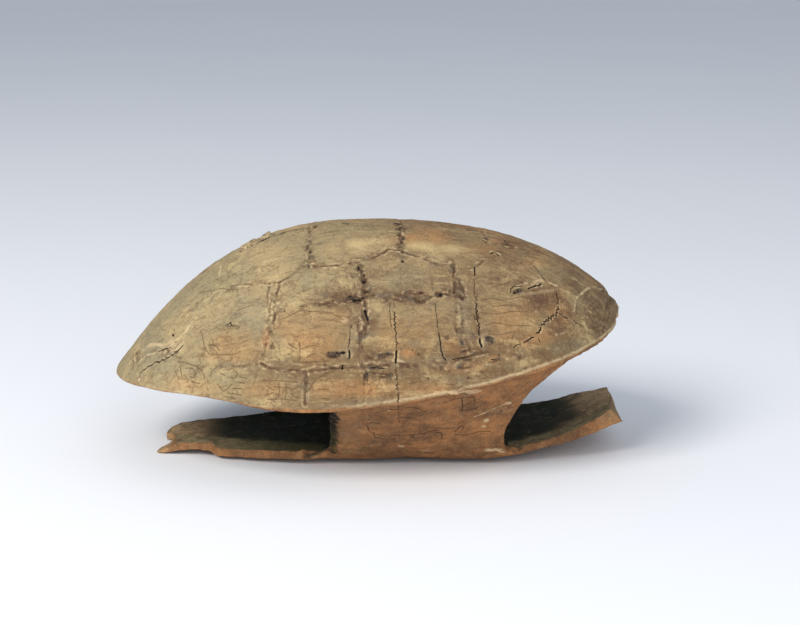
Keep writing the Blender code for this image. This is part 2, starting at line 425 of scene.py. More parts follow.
# All the lines below are drawn in a view: (x, z) points on a flank, which is the view unless
# another is named, and (x, distance from the midline) points for "top" and "belly".
# Seams between the horny plates that once covered the carapace, alike on both flanks:
# (points, groove share, welt share).
SPINE_SEAM = (
    (-74, 40), (-60, 35), (-49, 31), (-42, 34), (-35, 36.5), (-31.5, 37), (-28, 35.5),
    (-25, 34), (-21, 33), (-13, 35), (-7, 35), (-3, 33.5), (1, 32), (5, 29.5), (8.5, 27),
    (13.5, 29), (19, 32), (25, 33.5), (32, 35), (38, 34), (42, 29), (47.5, 23.5), (56, 25),
    (64, 31), (70, 32.5), (75, 29), (80, 21),
)
RIM_SEAM = (
    (-72, 45), (-62, 42.5), (-54.5, 42.5), (-47.5, 43.5), (-41.5, 44.5), (-37.5, 45),
    (-32, 43.5), (-27.5, 42.5), (-22, 42.3), (-15, 43.7), (-10, 44.7), (0.5, 45),
    (11, 45.4), (27, 46), (33, 47.2), (39, 48.7), (50.5, 50.4), (61, 52), (70, 54), (78, 57),
)
SEAMS = (
    ("top", SPINE_SEAM[4:-8], 0.9, 1.0),
    ("top", SPINE_SEAM[-9:-4], 0.5, 0.6),
    ("top", SPINE_SEAM[2:5], 0.5, 0.9),
    ("top", SPINE_SEAM[:3], 0.2, 0.2),
    ("top", SPINE_SEAM[-5:], 0.25, 0.5),
    ("top", ((-52, 0), (-52.5, 12), (-51, 22), (-49, 31)), 0.1, 0.3),
    ("top", ((-21.5, 0), (-20.5, 10), (-21.6, 19), (-20.5, 29), (-21, 33)), 0.3, 0.4),
    ("top", ((13, 0), (11.6, 10), (13.2, 19), (12.6, 29)), 0.6, 0.5),
    ("top", ((43.5, 0), (43.5, 14), (45.5, 20), (47.5, 23.5)), 0.3, 0.5),
    (((-31.6, 70), (-31.8, 66.5), (-32.6, 64.4)), 0.7, 0.6),
    (((-35.4, 69.5), (-34.9, 65.5), (-34.6, 60)), 0.3, 1.0),
    (((-35, 59.6), (-34.2, 56), (-35.6, 52), (-37.3, 45.6)), 0.6, 0.9),
    (((-33, 60.4), (-32.4, 57), (-33.8, 54.4)), 0.7, 0.7),
    (((-5.5, 73.5), (-4.2, 70), (-3.6, 66)), 0.4, 0.5),
    (((-2.6, 74.5), (-0.6, 68), (-0.7, 60), (-2, 56), (-3.4, 50), (-2, 45)), 0.6, 0.3),
    (((31, 74.5), (31.6, 70), (31, 62), (31.2, 55.5)), 0.6, 0.4),
    (((34.4, 66), (33.2, 58), (34.6, 51), (36, 49)), 0.6, 0.5),
    (((22.6, 76), (23.2, 70), (22.8, 66)), 0.35, 0.2),
    (RIM_SEAM[:6], 0.45, 0.6),
    (RIM_SEAM[5:10], 0.7, 0.8),
    (RIM_SEAM[9:-3], 0.7, 0.5),
    (RIM_SEAM[-4:], 0.25, 0.4),
    (((-72, 45), (-74, 40), (-77, 35)), 0.15, 0.3),
    (((-55, 42.5), (-57, 38), (-59, 33)), 0.2, 0.2),
    (((-37.3, 44.5), (-39.2, 39.5), (-41.6, 33.5)), 0.4, 0.7),
    (((-22, 42.3), (-21.3, 36), (-22, 32)), 0.7, 0.6),
    (((-1.5, 45), (-1, 38.5), (-1.5, 34)), 0.5, 0.3),
    (((18, 45.5), (17.5, 39), (18, 34)), 0.2, 0.2),
    (((36, 48), (36.5, 42), (37, 37)), 0.2, 0.3),
    (((52, 50.5), (54, 45), (56, 40)), 0.2, 0.2),
    (((66, 53), (69, 48), (71, 44)), 0.2, 0.2),
)

# Gaping sutures and cracks of the near flank: (points, width, depth, jaggedness).
NEAR_CRACKS = (
    (((9.2, 65.5), (9.4, 62.4)), 0.14, 0.35, 0.45),
    (((9.4, 62.4), (9.5, 58), (9.9, 53), (9.9, 50)), 0.17, 0.6, 0.42),
    (((9.9, 50.5), (9.8, 48), (9.7, 45.2)), 0.34, 1.1, 0.2),
    (((9.7, 45.2), (10, 39.6), (10.3, 34), (10.6, 30.5)), 0.14, 0.35, 0.39),
    (((10.6, 30.5), (10.8, 26), (11, 21)), 0.13, 0.3, 0.39),
    (((24.6, 56), (25.2, 53.6), (25.4, 50), (26.3, 47.6), (27.4, 46)), 0.26, 0.6, 0.2),
    (((23.4, 65), (24, 60), (24.6, 56)), 0.16, 0.25, 0.35),
    (((38.4, 75), (38.4, 73), (38.2, 71.6)), 0.3, 0.5, 0.3),
    (((38.2, 71.6), (38, 68), (38, 64.7)), 0.14, 0.25, 0.3),
    (((38.4, 64.7), (38.6, 61), (39, 57), (39.4, 53.6)), 0.22, 0.6, 0.42),
    (((39.4, 53.6), (39.3, 52), (39.9, 51), (39.8, 49.8)), 0.4, 0.9, 0.1),
    (((68.4, 65), (68.6, 62.5), (68.9, 61)), 0.22, 0.4, 0.3),
    (((68.9, 61), (68.2, 59.2), (65.8, 57.8), (63.8, 57), (62, 55.4)), 0.24, 0.8, 0.65),
    (((62, 55.4), (61, 54), (59.8, 53)), 0.3, 0.8, 0.4),
    (((68.2, 59), (70.4, 57.6), (72.6, 56.4)), 0.24, 0.6, 0.25),
    (((73.4, 56), (75.2, 54.9), (77.6, 53.6)), 0.2, 0.45, 0.3),
    (((59.6, 52.4), (57, 51.8), (54.6, 50.8)), 0.26, 0.6, 0.3),
    (((54.6, 50.8), (52.6, 50.1), (50.3, 49.9)), 0.2, 0.4, 0.3),
    (((60, 52.4), (60.8, 51), (61.8, 50.2)), 0.2, 0.4, 0.2),
    (((45.5, 48.6), (46, 47.2), (46.8, 46.4)), 0.2, 0.4, 0.2),
    (((-6.9, 50.4), (-6.4, 48.6), (-6.8, 46.6)), 0.34, 0.9, 0.1),
    (((-6.2, 58), (-6.1, 54), (-6.9, 50.4)), 0.16, 0.3, 0.35),
    (((-8.6, 45.8), (-9.1, 44.6), (-9.5, 43)), 0.28, 0.5, 0.1),
    (((-84, 33.6), (-82.4, 36), (-80, 38.6), (-77.2, 40.4), (-74.4, 41.6)), 0.3, 0.8, 0.2),
    (((-76, 40.8), (-73, 42.4), (-71, 43.6), (-68, 45.6), (-66.4, 48)), 0.26, 0.7, 0.25),
    (((-76, 43.8), (-73, 45.4), (-70.4, 46.6)), 0.26, 0.7, 0.15),
    (((-70, 44.8), (-68.4, 46), (-67, 47), (-66, 48.6)), 0.28, 0.7, 0.25),
    (((60.5, 73.4), (62.8, 70.9), (65, 68)), 0.2, 0.4, 0.2),
    (((7.8, 65), (8, 56.5)), 0.13, 0.2, 0.3),
    (((57.4, 66.9), (59.4, 67.5), (61.4, 67.6), (63.6, 67.9)), 0.32, 0.9, 0.2),
    (((50.6, 65.6), (51.4, 67.4), (53, 68.2), (56, 67.6)), 0.2, 0.35, 0.3),
    (((-23.5, 6.8), (-20, 7.6), (-16.8, 8.6), (-15.2, 8.2), (-14.2, 6.9), (-12.6, 5.5)), 0.35,
        0.7, 0.2),
    (((-1.6, 62.8), (-0.6, 61.4), (-0.1, 60), (-0.3, 58.8)), 0.42, 0.8, 0.3),
    (((-6, 65.8), (-3.8, 65.2), (-2.2, 65.6)), 0.4, 0.7, 0.3),
    ("top", ((42.3, 12.6), (43.4, 14), (44.4, 16)), 0.5, 1.0, 0.3),
    ("top", ((50.8, 6), (51.4, 10), (52, 12), (53.6, 13)), 0.3, 0.5, 0.35),
    ("top", ((32, 2.6), (33.8, 4)), 0.45, 0.8, 0.2),
    ("top", ((35.6, 5.8), (38.4, 4.6)), 0.45, 0.8, 0.2),
    ("top", ((-52.6, 2.6), (-51.2, 2)), 0.4, 0.8, 0.1),
    ("top", ((-56, 21), (-54, 21.8), (-52.3, 21)), 0.28, 0.5, 0.1),
    ("top", ((-49, 7.4), (-45.8, 5.6), (-43, 4.4), (-40.6, 2.8)), 0.5, 1.2, 0.3),
    ("top", ((-40.6, 2.8), (-39, 1.2), (-36.6, -0.8)), 0.8, 1.7, 0.2),
    ("top", ((-56.6, 4), (-55, 1.5), (-54.6, -2)), 0.6, 1.2, 0.2),
    ("top", ((44.6, 24), (46.4, 22.2), (48.8, 23.8)), 0.5, 1.1, 0.1),
    (((16.6, 48.4), (18.6, 48.8)), 0.3, 0.5, 0.1),
    (((14.6, 39.6), (16.4, 39.9)), 0.26, 0.4, 0.1),
    (((0.4, 44.4), (3, 44.5), (6.2, 44.2)), 0.22, 0.4, 0.3),
    (((28.6, 46.6), (32, 47.2), (36.4, 47.4)), 0.2, 0.35, 0.15),
    (((42.6, 46.2), (45.4, 46.1)), 0.22, 0.4, 0.3),
    (((-50.6, 56), (-49, 56.8), (-47.6, 55.6)), 0.24, 0.4, 0.2),
)
# A crack more jagged than this has teeth, one every so many millimetres.
TOOTH_FROM = 0.38
TOOTH_PITCH = 0.5
# The same on the far flank, fewer and plainer.
FAR_CRACKS = (
    (((10, 63), (9.5, 57), (10, 50), (9.8, 45)), 0.3, 0.6, 0.45),
    (((-19, 62), (-18.5, 55), (-19.5, 48)), 0.24, 0.45, 0.4),
    (((40, 70), (39, 62), (40, 53)), 0.28, 0.5, 0.45),
    (((66, 62), (64, 57), (60, 53), (54, 51)), 0.28, 0.5, 0.4),
    (((-62, 52), (-55, 50), (-50, 52)), 0.22, 0.4, 0.2),
)

# Sutures and plate seams of the plastron, alike on both sides: (points, share).
BELLY_SEAMS = (
    (((-72, 0.0), (-40, 0.4), (0, -0.3), (40, 0.3), (92, 0.0)), 0.8),
    (((-52, 0), (-50, 10), (-46, 19), (-43, 28)), 0.8),
    (((-26, 0), (-25, 12), (-24, 22), (-22, 32)), 0.7),
    (((12, 0), (11, 14), (13, 26), (16, 34)), 0.8),
    (((46, 0), (44, 12), (47, 22), (52, 31)), 0.7),
    (((70, 0), (66, 8), (64, 17), (66, 28)), 0.7),
    (((84, 0), (80, 8), (78, 14), (79, 23)), 0.6),
)

# Knife strokes of the near flank and bridge, as (x, z) points: bars, arcs and forks in rows.
NEAR_STROKES = (
    ((-68, 42.8), (-65, 42.9), (-61, 42.4), (-58.4, 41), (-57.6, 38.8)),
    ((-65, 41), (-62.5, 41.6), (-60.8, 40.2), (-61.5, 38.6), (-63.5, 38.8)),
    ((-69, 40.2), (-66.8, 37)), ((-66.6, 41), (-66, 38)), ((-63, 37.4), (-59, 37)),
    ((-60, 53.5), (-58.6, 51), (-58, 48), (-55.6, 46.4), (-51.4, 46.8), (-46.6, 47.4),
        (-44.8, 48.6)),
    ((-57, 49.3), (-54, 49.5), (-52.2, 47.8)),
    ((-56, 39.4), (-55, 41.6), (-53, 43)),
    ((-49.6, 42), (-47.8, 42.9), (-46, 41.6), (-46.4, 39.8), (-48.6, 39.6)),
    ((-52.6, 41.2), (-50, 40.4)), ((-45.4, 40.4), (-42, 39.9)), ((-46, 38.6), (-42.6, 38.4)),
    ((-53.4, 37.8), (-50.6, 35), (-47.6, 38)), ((-48, 36.4), (-43.8, 36.6)),
    ((-49.4, 34.8), (-44.2, 34.4)), ((-51, 33.6), (-46, 32.9)),
    ((-37, 39.5), (-31, 39.6), (-24, 39.3)), ((-35.6, 33.4), (-30, 33.6), (-24.6, 33.2)),
    ((-31.2, 39.2), (-31, 36), (-31.4, 33.6)), ((-28.8, 39.4), (-28.6, 36.4), (-29, 33.4)),
    ((-36, 38), (-32.4, 36.2)), ((-36.4, 34.6), (-32.6, 35.8)), ((-27.4, 36.4), (-23.6, 38.2)),
    ((-27.4, 35.6), (-24, 33.8)), ((-33.6, 37.6), (-26.4, 37.2)),
    ((-24, 52.4), (-23.8, 49), (-24.2, 45.8)),
    ((-28.4, 52), (-26.2, 50.4), (-24.2, 49.7)), ((-23.8, 49.8), (-21, 50.8), (-17.8, 51.4)),
    ((-21.8, 47), (-20.3, 48.3), (-17.8, 48.7)), ((-28.6, 48.4), (-26, 47.6)),
    ((-27, 46.3), (-23.8, 45.6), (-19.6, 46), (-13.3, 46.5)),
    ((-17.5, 40), (-15, 40.3), (-13, 40.9)), ((-17.8, 37.2), (-13.3, 37.3)),
    ((-16.8, 34.3), (-13.3, 34)), ((-7.7, 38.3), (-3.6, 38)), ((-6.7, 34.4), (-3.6, 34.4)),
    ((-9.8, 43.8), (-15, 42.4), (-18.5, 40), (-20.3, 37.5), (-22, 35.8)),
    ((-0.8, 43.8), (-0.4, 41), (-0.2, 38.6)), ((-0.2, 38.8), (2.3, 40.2), (7.6, 42.2)),
    ((0, 43), (4, 42.4), (8.3, 41.6)), ((13.8, 39.3), (15.5, 39), (17.3, 40)),
    ((18, 42.6), (20.6, 42.2)), ((27, 38.8), (30.4, 38.4)),
    ((-30, 59), (-24, 61.8), (-13, 61.4), (-8, 59)),
    ((-31, 65), (-34, 64.3), (-35.1, 62), (-33, 61.4)), ((-40, 63), (-47, 60.6)),
    ((-62, 63), (-53, 66), (-46, 66.6)), ((-63, 60), (-57, 63.4)), ((-66, 56.6), (-62, 59.6)),
    ((-49.6, 55.4), (-47.4, 56.4), (-45.4, 55.6), (-47, 54.8)),
    ((40, 64.6), (44, 65.2), (48, 64.4), (56, 65)),
    ((39.6, 61), (46, 60.4), (52, 60.9), (57.7, 60)),
    ((41, 57), (45, 57.9), (50, 56.6), (57.5, 56)), ((44, 62.6), (50, 62.9), (54, 62.2)),
    ((42, 54.4), (47, 54), (53, 54.6)), ((44, 68.2), (52, 69.6)), ((55, 71), (60, 69.4)),
    ((-0.1, 21.5), (1.7, 22.5), (4.2, 21.4)), ((-0.2, 21.2), (0, 18.4), (2.1, 16.2), (5.7, 15)),
    ((2, 17.8), (2.4, 14.8), (6, 13.2), (10.4, 13.4)),
    ((5.7, 15.1), (11.4, 14.8), (16.5, 15.2), (20.4, 16), (25.7, 17.4)),
    ((4.8, 27.7), (7.6, 28.4), (10.6, 28.3)),
    ((12.9, 28.9), (16, 29.1), (19.3, 27.4), (20.7, 26.3)),
    ((9.5, 23.6), (11.9, 24.2), (15.5, 23.2)), ((14.8, 13), (17, 15.3)), ((17, 13), (15.6, 15)),
    ((11.5, 10.1), (13.7, 11.1), (16.3, 10)), ((24.2, 16), (26.5, 15.9), (26.7, 12.9)),
    ((23.5, 18.4), (27.9, 18), (31.5, 17.9)), ((30.9, 15.6), (33.2, 18.8), (35.3, 20.1)),
    ((33.4, 16.4), (34.6, 18.6)), ((30.9, 15.1), (34.5, 14.4), (40.3, 15.8), (44.7, 15.6)),
    ((32.9, 32.2), (33.5, 28), (33.3, 25)), ((31.8, 26.8), (34.7, 26.2), (39, 26.6)),
    ((37.6, 31.6), (37.7, 29.4)), ((26.3, 29.8), (30.5, 31.6), (38, 32)),
)

# Colour zones: (x, z, half length, half height, share), on the near flank and bridge.
WARM_ZONES = (
    (-1, 37, 7, 2.4, 0.7), (-10, 38, 8, 2.6, 0.5),
    (-48, 49, 11, 6, 0.5), (-20, 53, 10, 8, 0.6), (-27, 57, 6, 5, 0.5), (-11, 60, 7, 3, 0.5),
    (-8, 37.5, 12, 3, 0.65), (8, 37, 10, 2.6, 0.5), (22, 37.5, 9, 2.4, 0.5),
    (-36, 52.6, 1.6, 3.2, 1.0),
    (14, 49, 3.4, 1.7, 1.0), (20, 82.5, 11, 2, 0.8), (50, 79, 14, 2.4, 0.6), (33, 44, 9, 2, 0.5),
    (60, 52, 8, 3, 0.6), (69, 60, 4, 5, 0.9), (50, 58, 9, 6, 0.5), (-36, 37, 9, 3.4, 0.4),
    (-60, 36, 12, 3, 0.35), (8, 55, 7, 7, 0.3), (20, 55, 6, 6, 0.25), (30, 51, 4, 2, 0.6),
    (-45, 52, 4, 4, 0.4), (62, 74, 8, 2, 0.5), (45, 46, 6, 1.5, 0.4),
)
BROWN_ZONES = (
    (6, 35.4, 5, 1.6, 0.6), (1, 60, 2.6, 5, 0.8), (0, 34, 16, 2.4, 0.3),
    (-8, 66, 9, 3.6, 1.0), (-1.5, 63, 3.4, 10, 0.9), (15, 66.4, 8, 3.0, 0.95),
    (-17, 64.4, 7, 1.8, 0.9),
    (28, 67, 5, 1.6, 0.7), (2, 47, 7, 2.6, 0.7), (32, 48, 5, 3, 0.6),
    (64, 63, 9, 4, 1.0), (69, 57, 5, 5, 0.7), (84, 57, 9, 8, 0.8), (52, 77, 18, 3.4, 0.5),
    (36, 60, 5, 10, 0.45), (20, 69, 14, 4, 0.4), (5, 66, 22, 3.4, 0.5), (30, 47, 12, 3, 0.4),
    (4, 47.5, 14, 2.4, 0.45), (-38, 47, 3, 2, 0.6), (-13, 67, 9, 1.6, 0.6), (18, 78, 18, 1.4, 0.4),
    (76, 67, 5, 3, 0.7), (28, 72, 9, 4, 0.45), (0, 73, 10, 2, 0.5), (46, 70, 12, 4, 0.3),
    (88, 52, 6, 3, 0.4), (-28, 70, 6, 1.2, 0.4), (40, 41, 9, 1.4, 0.4), (55, 47, 8, 2, 0.3),
)
GREY_ZONES = (
    (3, 33, 15, 2, 0.6), (-1.6, 60, 3.4, 5, 0.9), (33.5, 63, 2.6, 7, 0.8), (16, 67, 6, 3, 0.5),
    (90, 17, 7, 9, 0.9), (-66, 4, 12, 6, 0.4),
    (-76, 43, 9, 5, 0.8), (-38.5, 59, 3.4, 9, 0.7), (-61, 42, 9, 2, 0.5), (34, 57, 2.4, 9, 0.9),
    (41, 54, 2, 6, 0.6), (-1, 57, 3, 6, 0.5), (5, 45.5, 12, 2, 0.6), (22, 46, 10, 2, 0.5),
    (76, 48, 12, 3, 0.6), (-64, 62, 14, 9, 0.3), (-43, 62, 8, 7, 0.5), (15, 71, 10, 4, 0.5),
    (-21.7, 37, 1.2, 5, 0.9), (-7, 49, 4, 2, 0.5), (0, 31, 22, 1.2, 0.3), (-6, 17, 8, 12, 0.5),
    (5, 15, 6, 3.4, 0.5), (-4, 8, 8, 3, 0.4), (30, 9, 12, 2.4, 0.3), (33, 29, 3, 6, 0.5),
    (45, 25, 5, 2.4, 0.5), (-22, 72, 2, 6, 0.5), (12.5, 79, 2, 5, 0.8), (-50, 44, 5, 1.2, 0.7),
    (78, 61, 5, 3, 0.4), (30, 40, 12, 2, 0.3),
)
PALE_ZONES = (
    (-1, 79, 8, 2.4, 0.4), (23, 77, 10, 2, 0.4), (46, 55, 3, 2.4, 0.4), (-24, 45, 7, 1, 0.5),
    (44, 58, 3, 3, 0.35), (-15, 57, 4, 3, 0.3), (62, 65.6, 12, 0.9, 0.5), (-70, 47.6, 6, 2.6, 0.5),
    (-64, 53, 2.4, 2, 0.35), (35, 35.2, 5, 1.3, 1.0), (42.4, 21, 1.2, 0.8, 1.0),
    (41.6, 18.2, 0.9, 0.6, 0.9),
    (46, 6.6, 4.5, 0.9, 0.9), (12, 9.6, 1.6, 0.8, 0.6), (50, 28, 1.6, 0.9, 0.8),
    (22, 7, 4, 0.5, 0.5),
    (-8.2, 59.4, 2.2, 1.6, 0.6), (-84, 41, 3, 3, 0.4), (7, 28, 0.8, 0.5, 0.8),
    (62, 70, 5, 2, 0.35),
)

# Smooth golden panels near the crest: (x, distance from the midline, half x, half width, share).
GOLD_ZONES = (
    (-2, 24, 8, 4.5, 0.9), (20, 25, 8, 4.5, 0.9), (31, 25, 8, 4, 0.8), (-34, 20, 8, 8, 0.4),
    (-13, 25, 5, 4, 0.5), (3, 14, 8, 3, 0.4), (56, 20, 8, 4, 0.3), (-20, 36, 8, 2, 0.3),
)
# Dark crust: (x, z, half length, half height, share) on the near flank.
NEAR_CRUST = (
    (-4.6, 65.6, 3.4, 1.5, 1.0), (-9, 65.6, 3, 1.1, 0.7), (-13.5, 63.8, 3, 1.3, 0.7),
    (-17.5, 64, 3, 0.6, 0.6), (-1.5, 71, 1.4, 1.3, 1.0), (-1.4, 68.8, 0.9, 0.7, 0.8),
    (-2.4, 74.6, 1.5, 1.3, 0.85), (0.8, 68.3, 0.7, 0.7, 0.9), (-0.9, 61.5, 1.5, 1.5, 1.0),
    (0.2, 59.4, 0.9, 2.2, 1.0), (-0.8, 55.8, 0.7, 1.4, 0.75), (-3.2, 53, 1.3, 1.5, 0.6),
    (-3, 50.8, 0.9, 0.9, 0.6), (-3.4, 58, 1.6, 2, 0.6), (1, 66, 2, 1.4, 0.6),
    (6, 66.8, 4, 1.5, 0.6),
    (17.4, 66.2, 3.6, 2.0, 0.75), (17.2, 64.9, 1.7, 0.9, 1.0), (13.6, 67, 1.0, 1.8, 0.8),
    (26, 67, 1.1, 1.4, 1.0), (28.8, 67.6, 1.0, 1.0, 1.0), (33.5, 65.4, 1.2, 0.9, 0.8),
    (31.6, 71, 0.9, 1.6, 0.7), (30.6, 75, 1.2, 1.0, 0.7), (27.6, 53.3, 1.3, 1.5, 0.85),
    (29.3, 51.7, 1.3, 1.0, 0.85), (32.9, 51.6, 1.2, 1.5, 1.0), (34.2, 49.4, 1.8, 0.6, 0.85),
    (37, 54.4, 1.2, 1.4, 0.5), (42.6, 52.4, 1.9, 1.3, 0.95), (31.8, 44.4, 1.8, 1.0, 0.65),
    (32.6, 46.6, 2.4, 0.7, 0.8), (14, 44.9, 3.2, 0.5, 0.8), (2.2, 47.6, 3.2, 1.4, 0.7),
    (6.6, 48.7, 1.9, 0.6, 0.85), (6.4, 46, 2, 0.7, 0.6), (3.2, 44.4, 3.4, 0.5, 0.85),
    (-0.9, 41.4, 0.9, 1.8, 0.9), (2.6, 42.5, 1.4, 1.0, 0.8), (6.8, 42.1, 2.0, 0.8, 0.8),
    (-12, 48.6, 2.9, 1.0, 1.0), (-8.7, 49.1, 1.4, 0.7, 1.0), (-12.4, 44.2, 2.6, 0.6, 0.8),
    (-9.4, 44.8, 1.2, 0.5, 0.9), (-33.7, 50.6, 1.5, 1.6, 0.9), (-29.3, 61.4, 1.1, 1.0, 0.95),
    (54, 66.4, 3.2, 1.0, 0.95), (51.4, 66.6, 1.2, 1.2, 0.7), (-28, 42.9, 3, 0.8, 0.6),
    (-21.6, 39.6, 0.8, 2.6, 0.8), (-46, 43.8, 2.4, 0.7, 0.6), (45.6, 46.2, 1.6, 0.6, 0.7),
    (39.6, 42.6, 0.8, 0.8, 0.6), (25.6, 44, 0.8, 0.9, 0.7), (55.6, 42.6, 1.6, 0.6, 0.6),
    (-49.5, 55.8, 2.2, 0.7, 0.5), (46, 70.6, 1.6, 0.8, 0.6), (23, 69, 0.6, 3, 0.5),
    (46, 23.6, 2.6, 0.7, 0.5), (36.4, 48.6, 3, 0.5, 0.5), (47, 51, 2, 0.6, 0.4),
    (21, 62.4, 2.4, 0.7, 0.4),
)
# The same near the crest: (x, distance from the midline, half length, half width, share).
CREST_CRUST = (
    (-19.3, 3, 1.4, 3.0, 0.95), (-21.2, 9, 1.0, 2.6, 0.7), (-21.6, 23, 0.8, 2.0, 0.8),
    (-20.2, 30, 1.0, 1.8, 0.8), (-8, 2.5, 1.8, 1.6, 0.75), (11, 4, 1.4, 2.6, 0.95),
    (12.2, 11, 0.9, 3.0, 0.95), (11.4, 17, 1.4, 2.0, 0.9), (13.2, 20, 1.0, 1.6, 0.9),
    (12.2, 25, 1.4, 1.6, 0.95), (44, 12, 1.0, 1.8, 0.95), (48.4, 21.4, 2.0, 0.9, 0.9),
    (38, 3, 1.2, 1.4, 0.7), (52, 13, 3.4, 1.8, 0.7), (54, 8, 2.6, 1.4, 0.6), (-30, 1, 6, 1.6, 0.6),
    (22, 17, 1.2, 1.4, 0.4), (64, 3, 4, 2, 0.4), (80, 12, 2, 3, 0.5), (-16, 22, 2, 1.4, 0.3),
)
# Crumbly bands of the near flank: (points, half width, share).
CRUMBLE_LINES = (
    ("top", ((-20.5, 2), (-21, 12), (-21.5, 22), (-20.3, 31)), 1.5, 0.55),
    ("top", ((11.5, 3), (12, 10), (12.5, 18), (12.3, 27)), 1.9, 1.0),
    (((-3, 74.5), (-1.8, 71), (-1, 67), (-1.2, 61), (-2, 56), (-3, 51)), 2.2, 0.9),
    (((-6.2, 62), (-6, 57), (-6.6, 52)), 0.9, 0.6),
    (((-34.2, 69.5), (-33.6, 64), (-34.2, 58), (-35.5, 52)), 1.7, 0.65),
    (((-33, 63.4), (-29.5, 61.4)), 1.2, 0.8),
    (((31, 76), (31.5, 72), (32.6, 68), (33.6, 65)), 2.0, 0.9),
    (((32.4, 64), (32, 58), (33, 52)), 2.0, 0.6),
    (((38.6, 66), (38.8, 60), (39, 55)), 1.1, 0.7),
    (((-17, 63.8), (-12, 64.6), (-4, 65.4), (4, 66.6), (12, 66)), 1.8, 0.9),
    (((2, 69), (8, 67.6)), 1.5, 0.6),
    (((13.6, 66.4), (20.4, 66.4)), 2.2, 1.0),
    (((25, 67), (33.6, 66.4)), 1.6, 0.9),
    (((-38, 45), (-33, 43.4), (-26, 43), (-22, 42.6)), 1.2, 0.7),
    (((-15, 45), (-8, 44.6)), 1.0, 0.7),
    (((-2, 45), (8, 44.8)), 1.3, 0.9),
    (((11, 45), (17, 45)), 0.9, 0.7),
    (((0, 47.6), (7.6, 48)), 1.7, 0.9),
    (((-0.6, 41.6), (8, 42)), 1.4, 0.9),
    (((27, 46.6), (36, 46.6)), 1.1, 0.8),
    (((30, 44.4), (36, 44)), 1.3, 0.8),
    (((42, 45.4), (52, 46)), 1.8, 0.7),
    (((24, 44), (28, 42.4)), 1.2, 0.6),
    ("top", ((43, 12), (47, 15), (53, 14), (58, 12)), 2.6, 0.8),
    ("top", ((22, 32), (28, 34), (31, 32)), 2.0, 0.9),
    (((-76, 43), (-70, 47)), 2.4, 0.7),
    (((-88, 40), (-84, 38)), 3.0, 0.6),
    (((-68, 44), (-62, 43), (-54, 42.6)), 1.2, 0.4),
    (((50, 68.6), (58, 69.4)), 1.4, 0.6),
    (((78, 53), (86, 50)), 3.0, 0.4),
    (((52, 42.5), (58, 42)), 1.3, 0.5),
    (((62, 46), (72, 49)), 2.0, 0.3),
    (((-30, 38), (-6, 37)), 2.4, 0.25),
)
# Dark stains of the near flank: (points, half width, share).
STAIN_LINES = (
    (((-24, 63.1), (-18, 64), (-14, 64.6)), 0.8, 0.7),
    (((-14, 64.6), (-9, 65.4), (-4, 66), (2, 66.4), (9, 66)), 3.0, 0.8),
    (((9, 66), (14, 66), (21, 66)), 2.7, 0.75),
    (((21, 66), (27, 67), (34, 66)), 1.5, 0.6),
    (((-3, 74), (-1.4, 70), (-0.6, 66)), 2.0, 0.7),
    (((-0.6, 64), (0, 60), (-1.6, 54), (-3, 50)), 2.3, 0.7),
    (((31.4, 75), (32.2, 68), (33.6, 65)), 1.3, 0.5),
    (((31.4, 63), (32, 56), (33.6, 50)), 1.1, 0.4),
    (((-14, 44), (-9, 44.6)), 0.9, 0.5),
    (((-2, 44.6), (8, 44.8), (17, 45)), 1.1, 0.5),
    (((24, 45.6), (30, 46.6), (40, 48.6)), 0.7, 0.5),
    (((-36, 54), (-36.6, 50), (-37.4, 46)), 0.7, 0.35),
    ("top", ((-26, 34.4), (-22, 33)), 1.1, 0.6),
    ("top", ((-9, 34.8), (-4, 34)), 0.8, 0.5),
    ("top", ((-2, 32.4), (5, 29.5), (8.5, 27.5)), 1.4, 0.55),
    ("top", ((13.5, 29.6), (19, 32), (25, 33.5)), 0.9, 0.45),
    ("top", ((38, 6), (46, 9), (56, 8)), 1.2, 0.4),
)
# Pits of the near flank: (x, z, size).
PITS = (
    (-1.2, 71, 0.9), (-1.2, 72.8, 0.6), (-0.8, 62, 0.7),
    (-85, 40.2, 0.4), (-70.5, 50, 0.6), (-70.2, 51.4, 0.45), (26, 67, 0.8),
    (30.6, 67.4, 0.6), (18, 65, 0.5), (-4.6, 65.4, 0.9), (-2.8, 65.5, 0.9), (-11, 49.2, 0.6),
    (15.5, 49.9, 0.5), (35, 40.6, 0.5),
    (28.6, 43.2, 0.4), (31, 43.8, 0.4), (21, 40.8, 0.5), (47.6, 24.6, 0.5),
    (12.6, 76.8, 0.8), (12.8, 79.4, 0.7), (12.6, 82, 0.6), (-20.6, 79, 0.6), (-21, 74.6, 0.5),
    (52.6, 66.3, 0.7), (-9, 44.2, 0.6), (36.8, 46, 0.4), (7.8, 40.8, 0.4), (88.5, 60.5, 0.5),
)

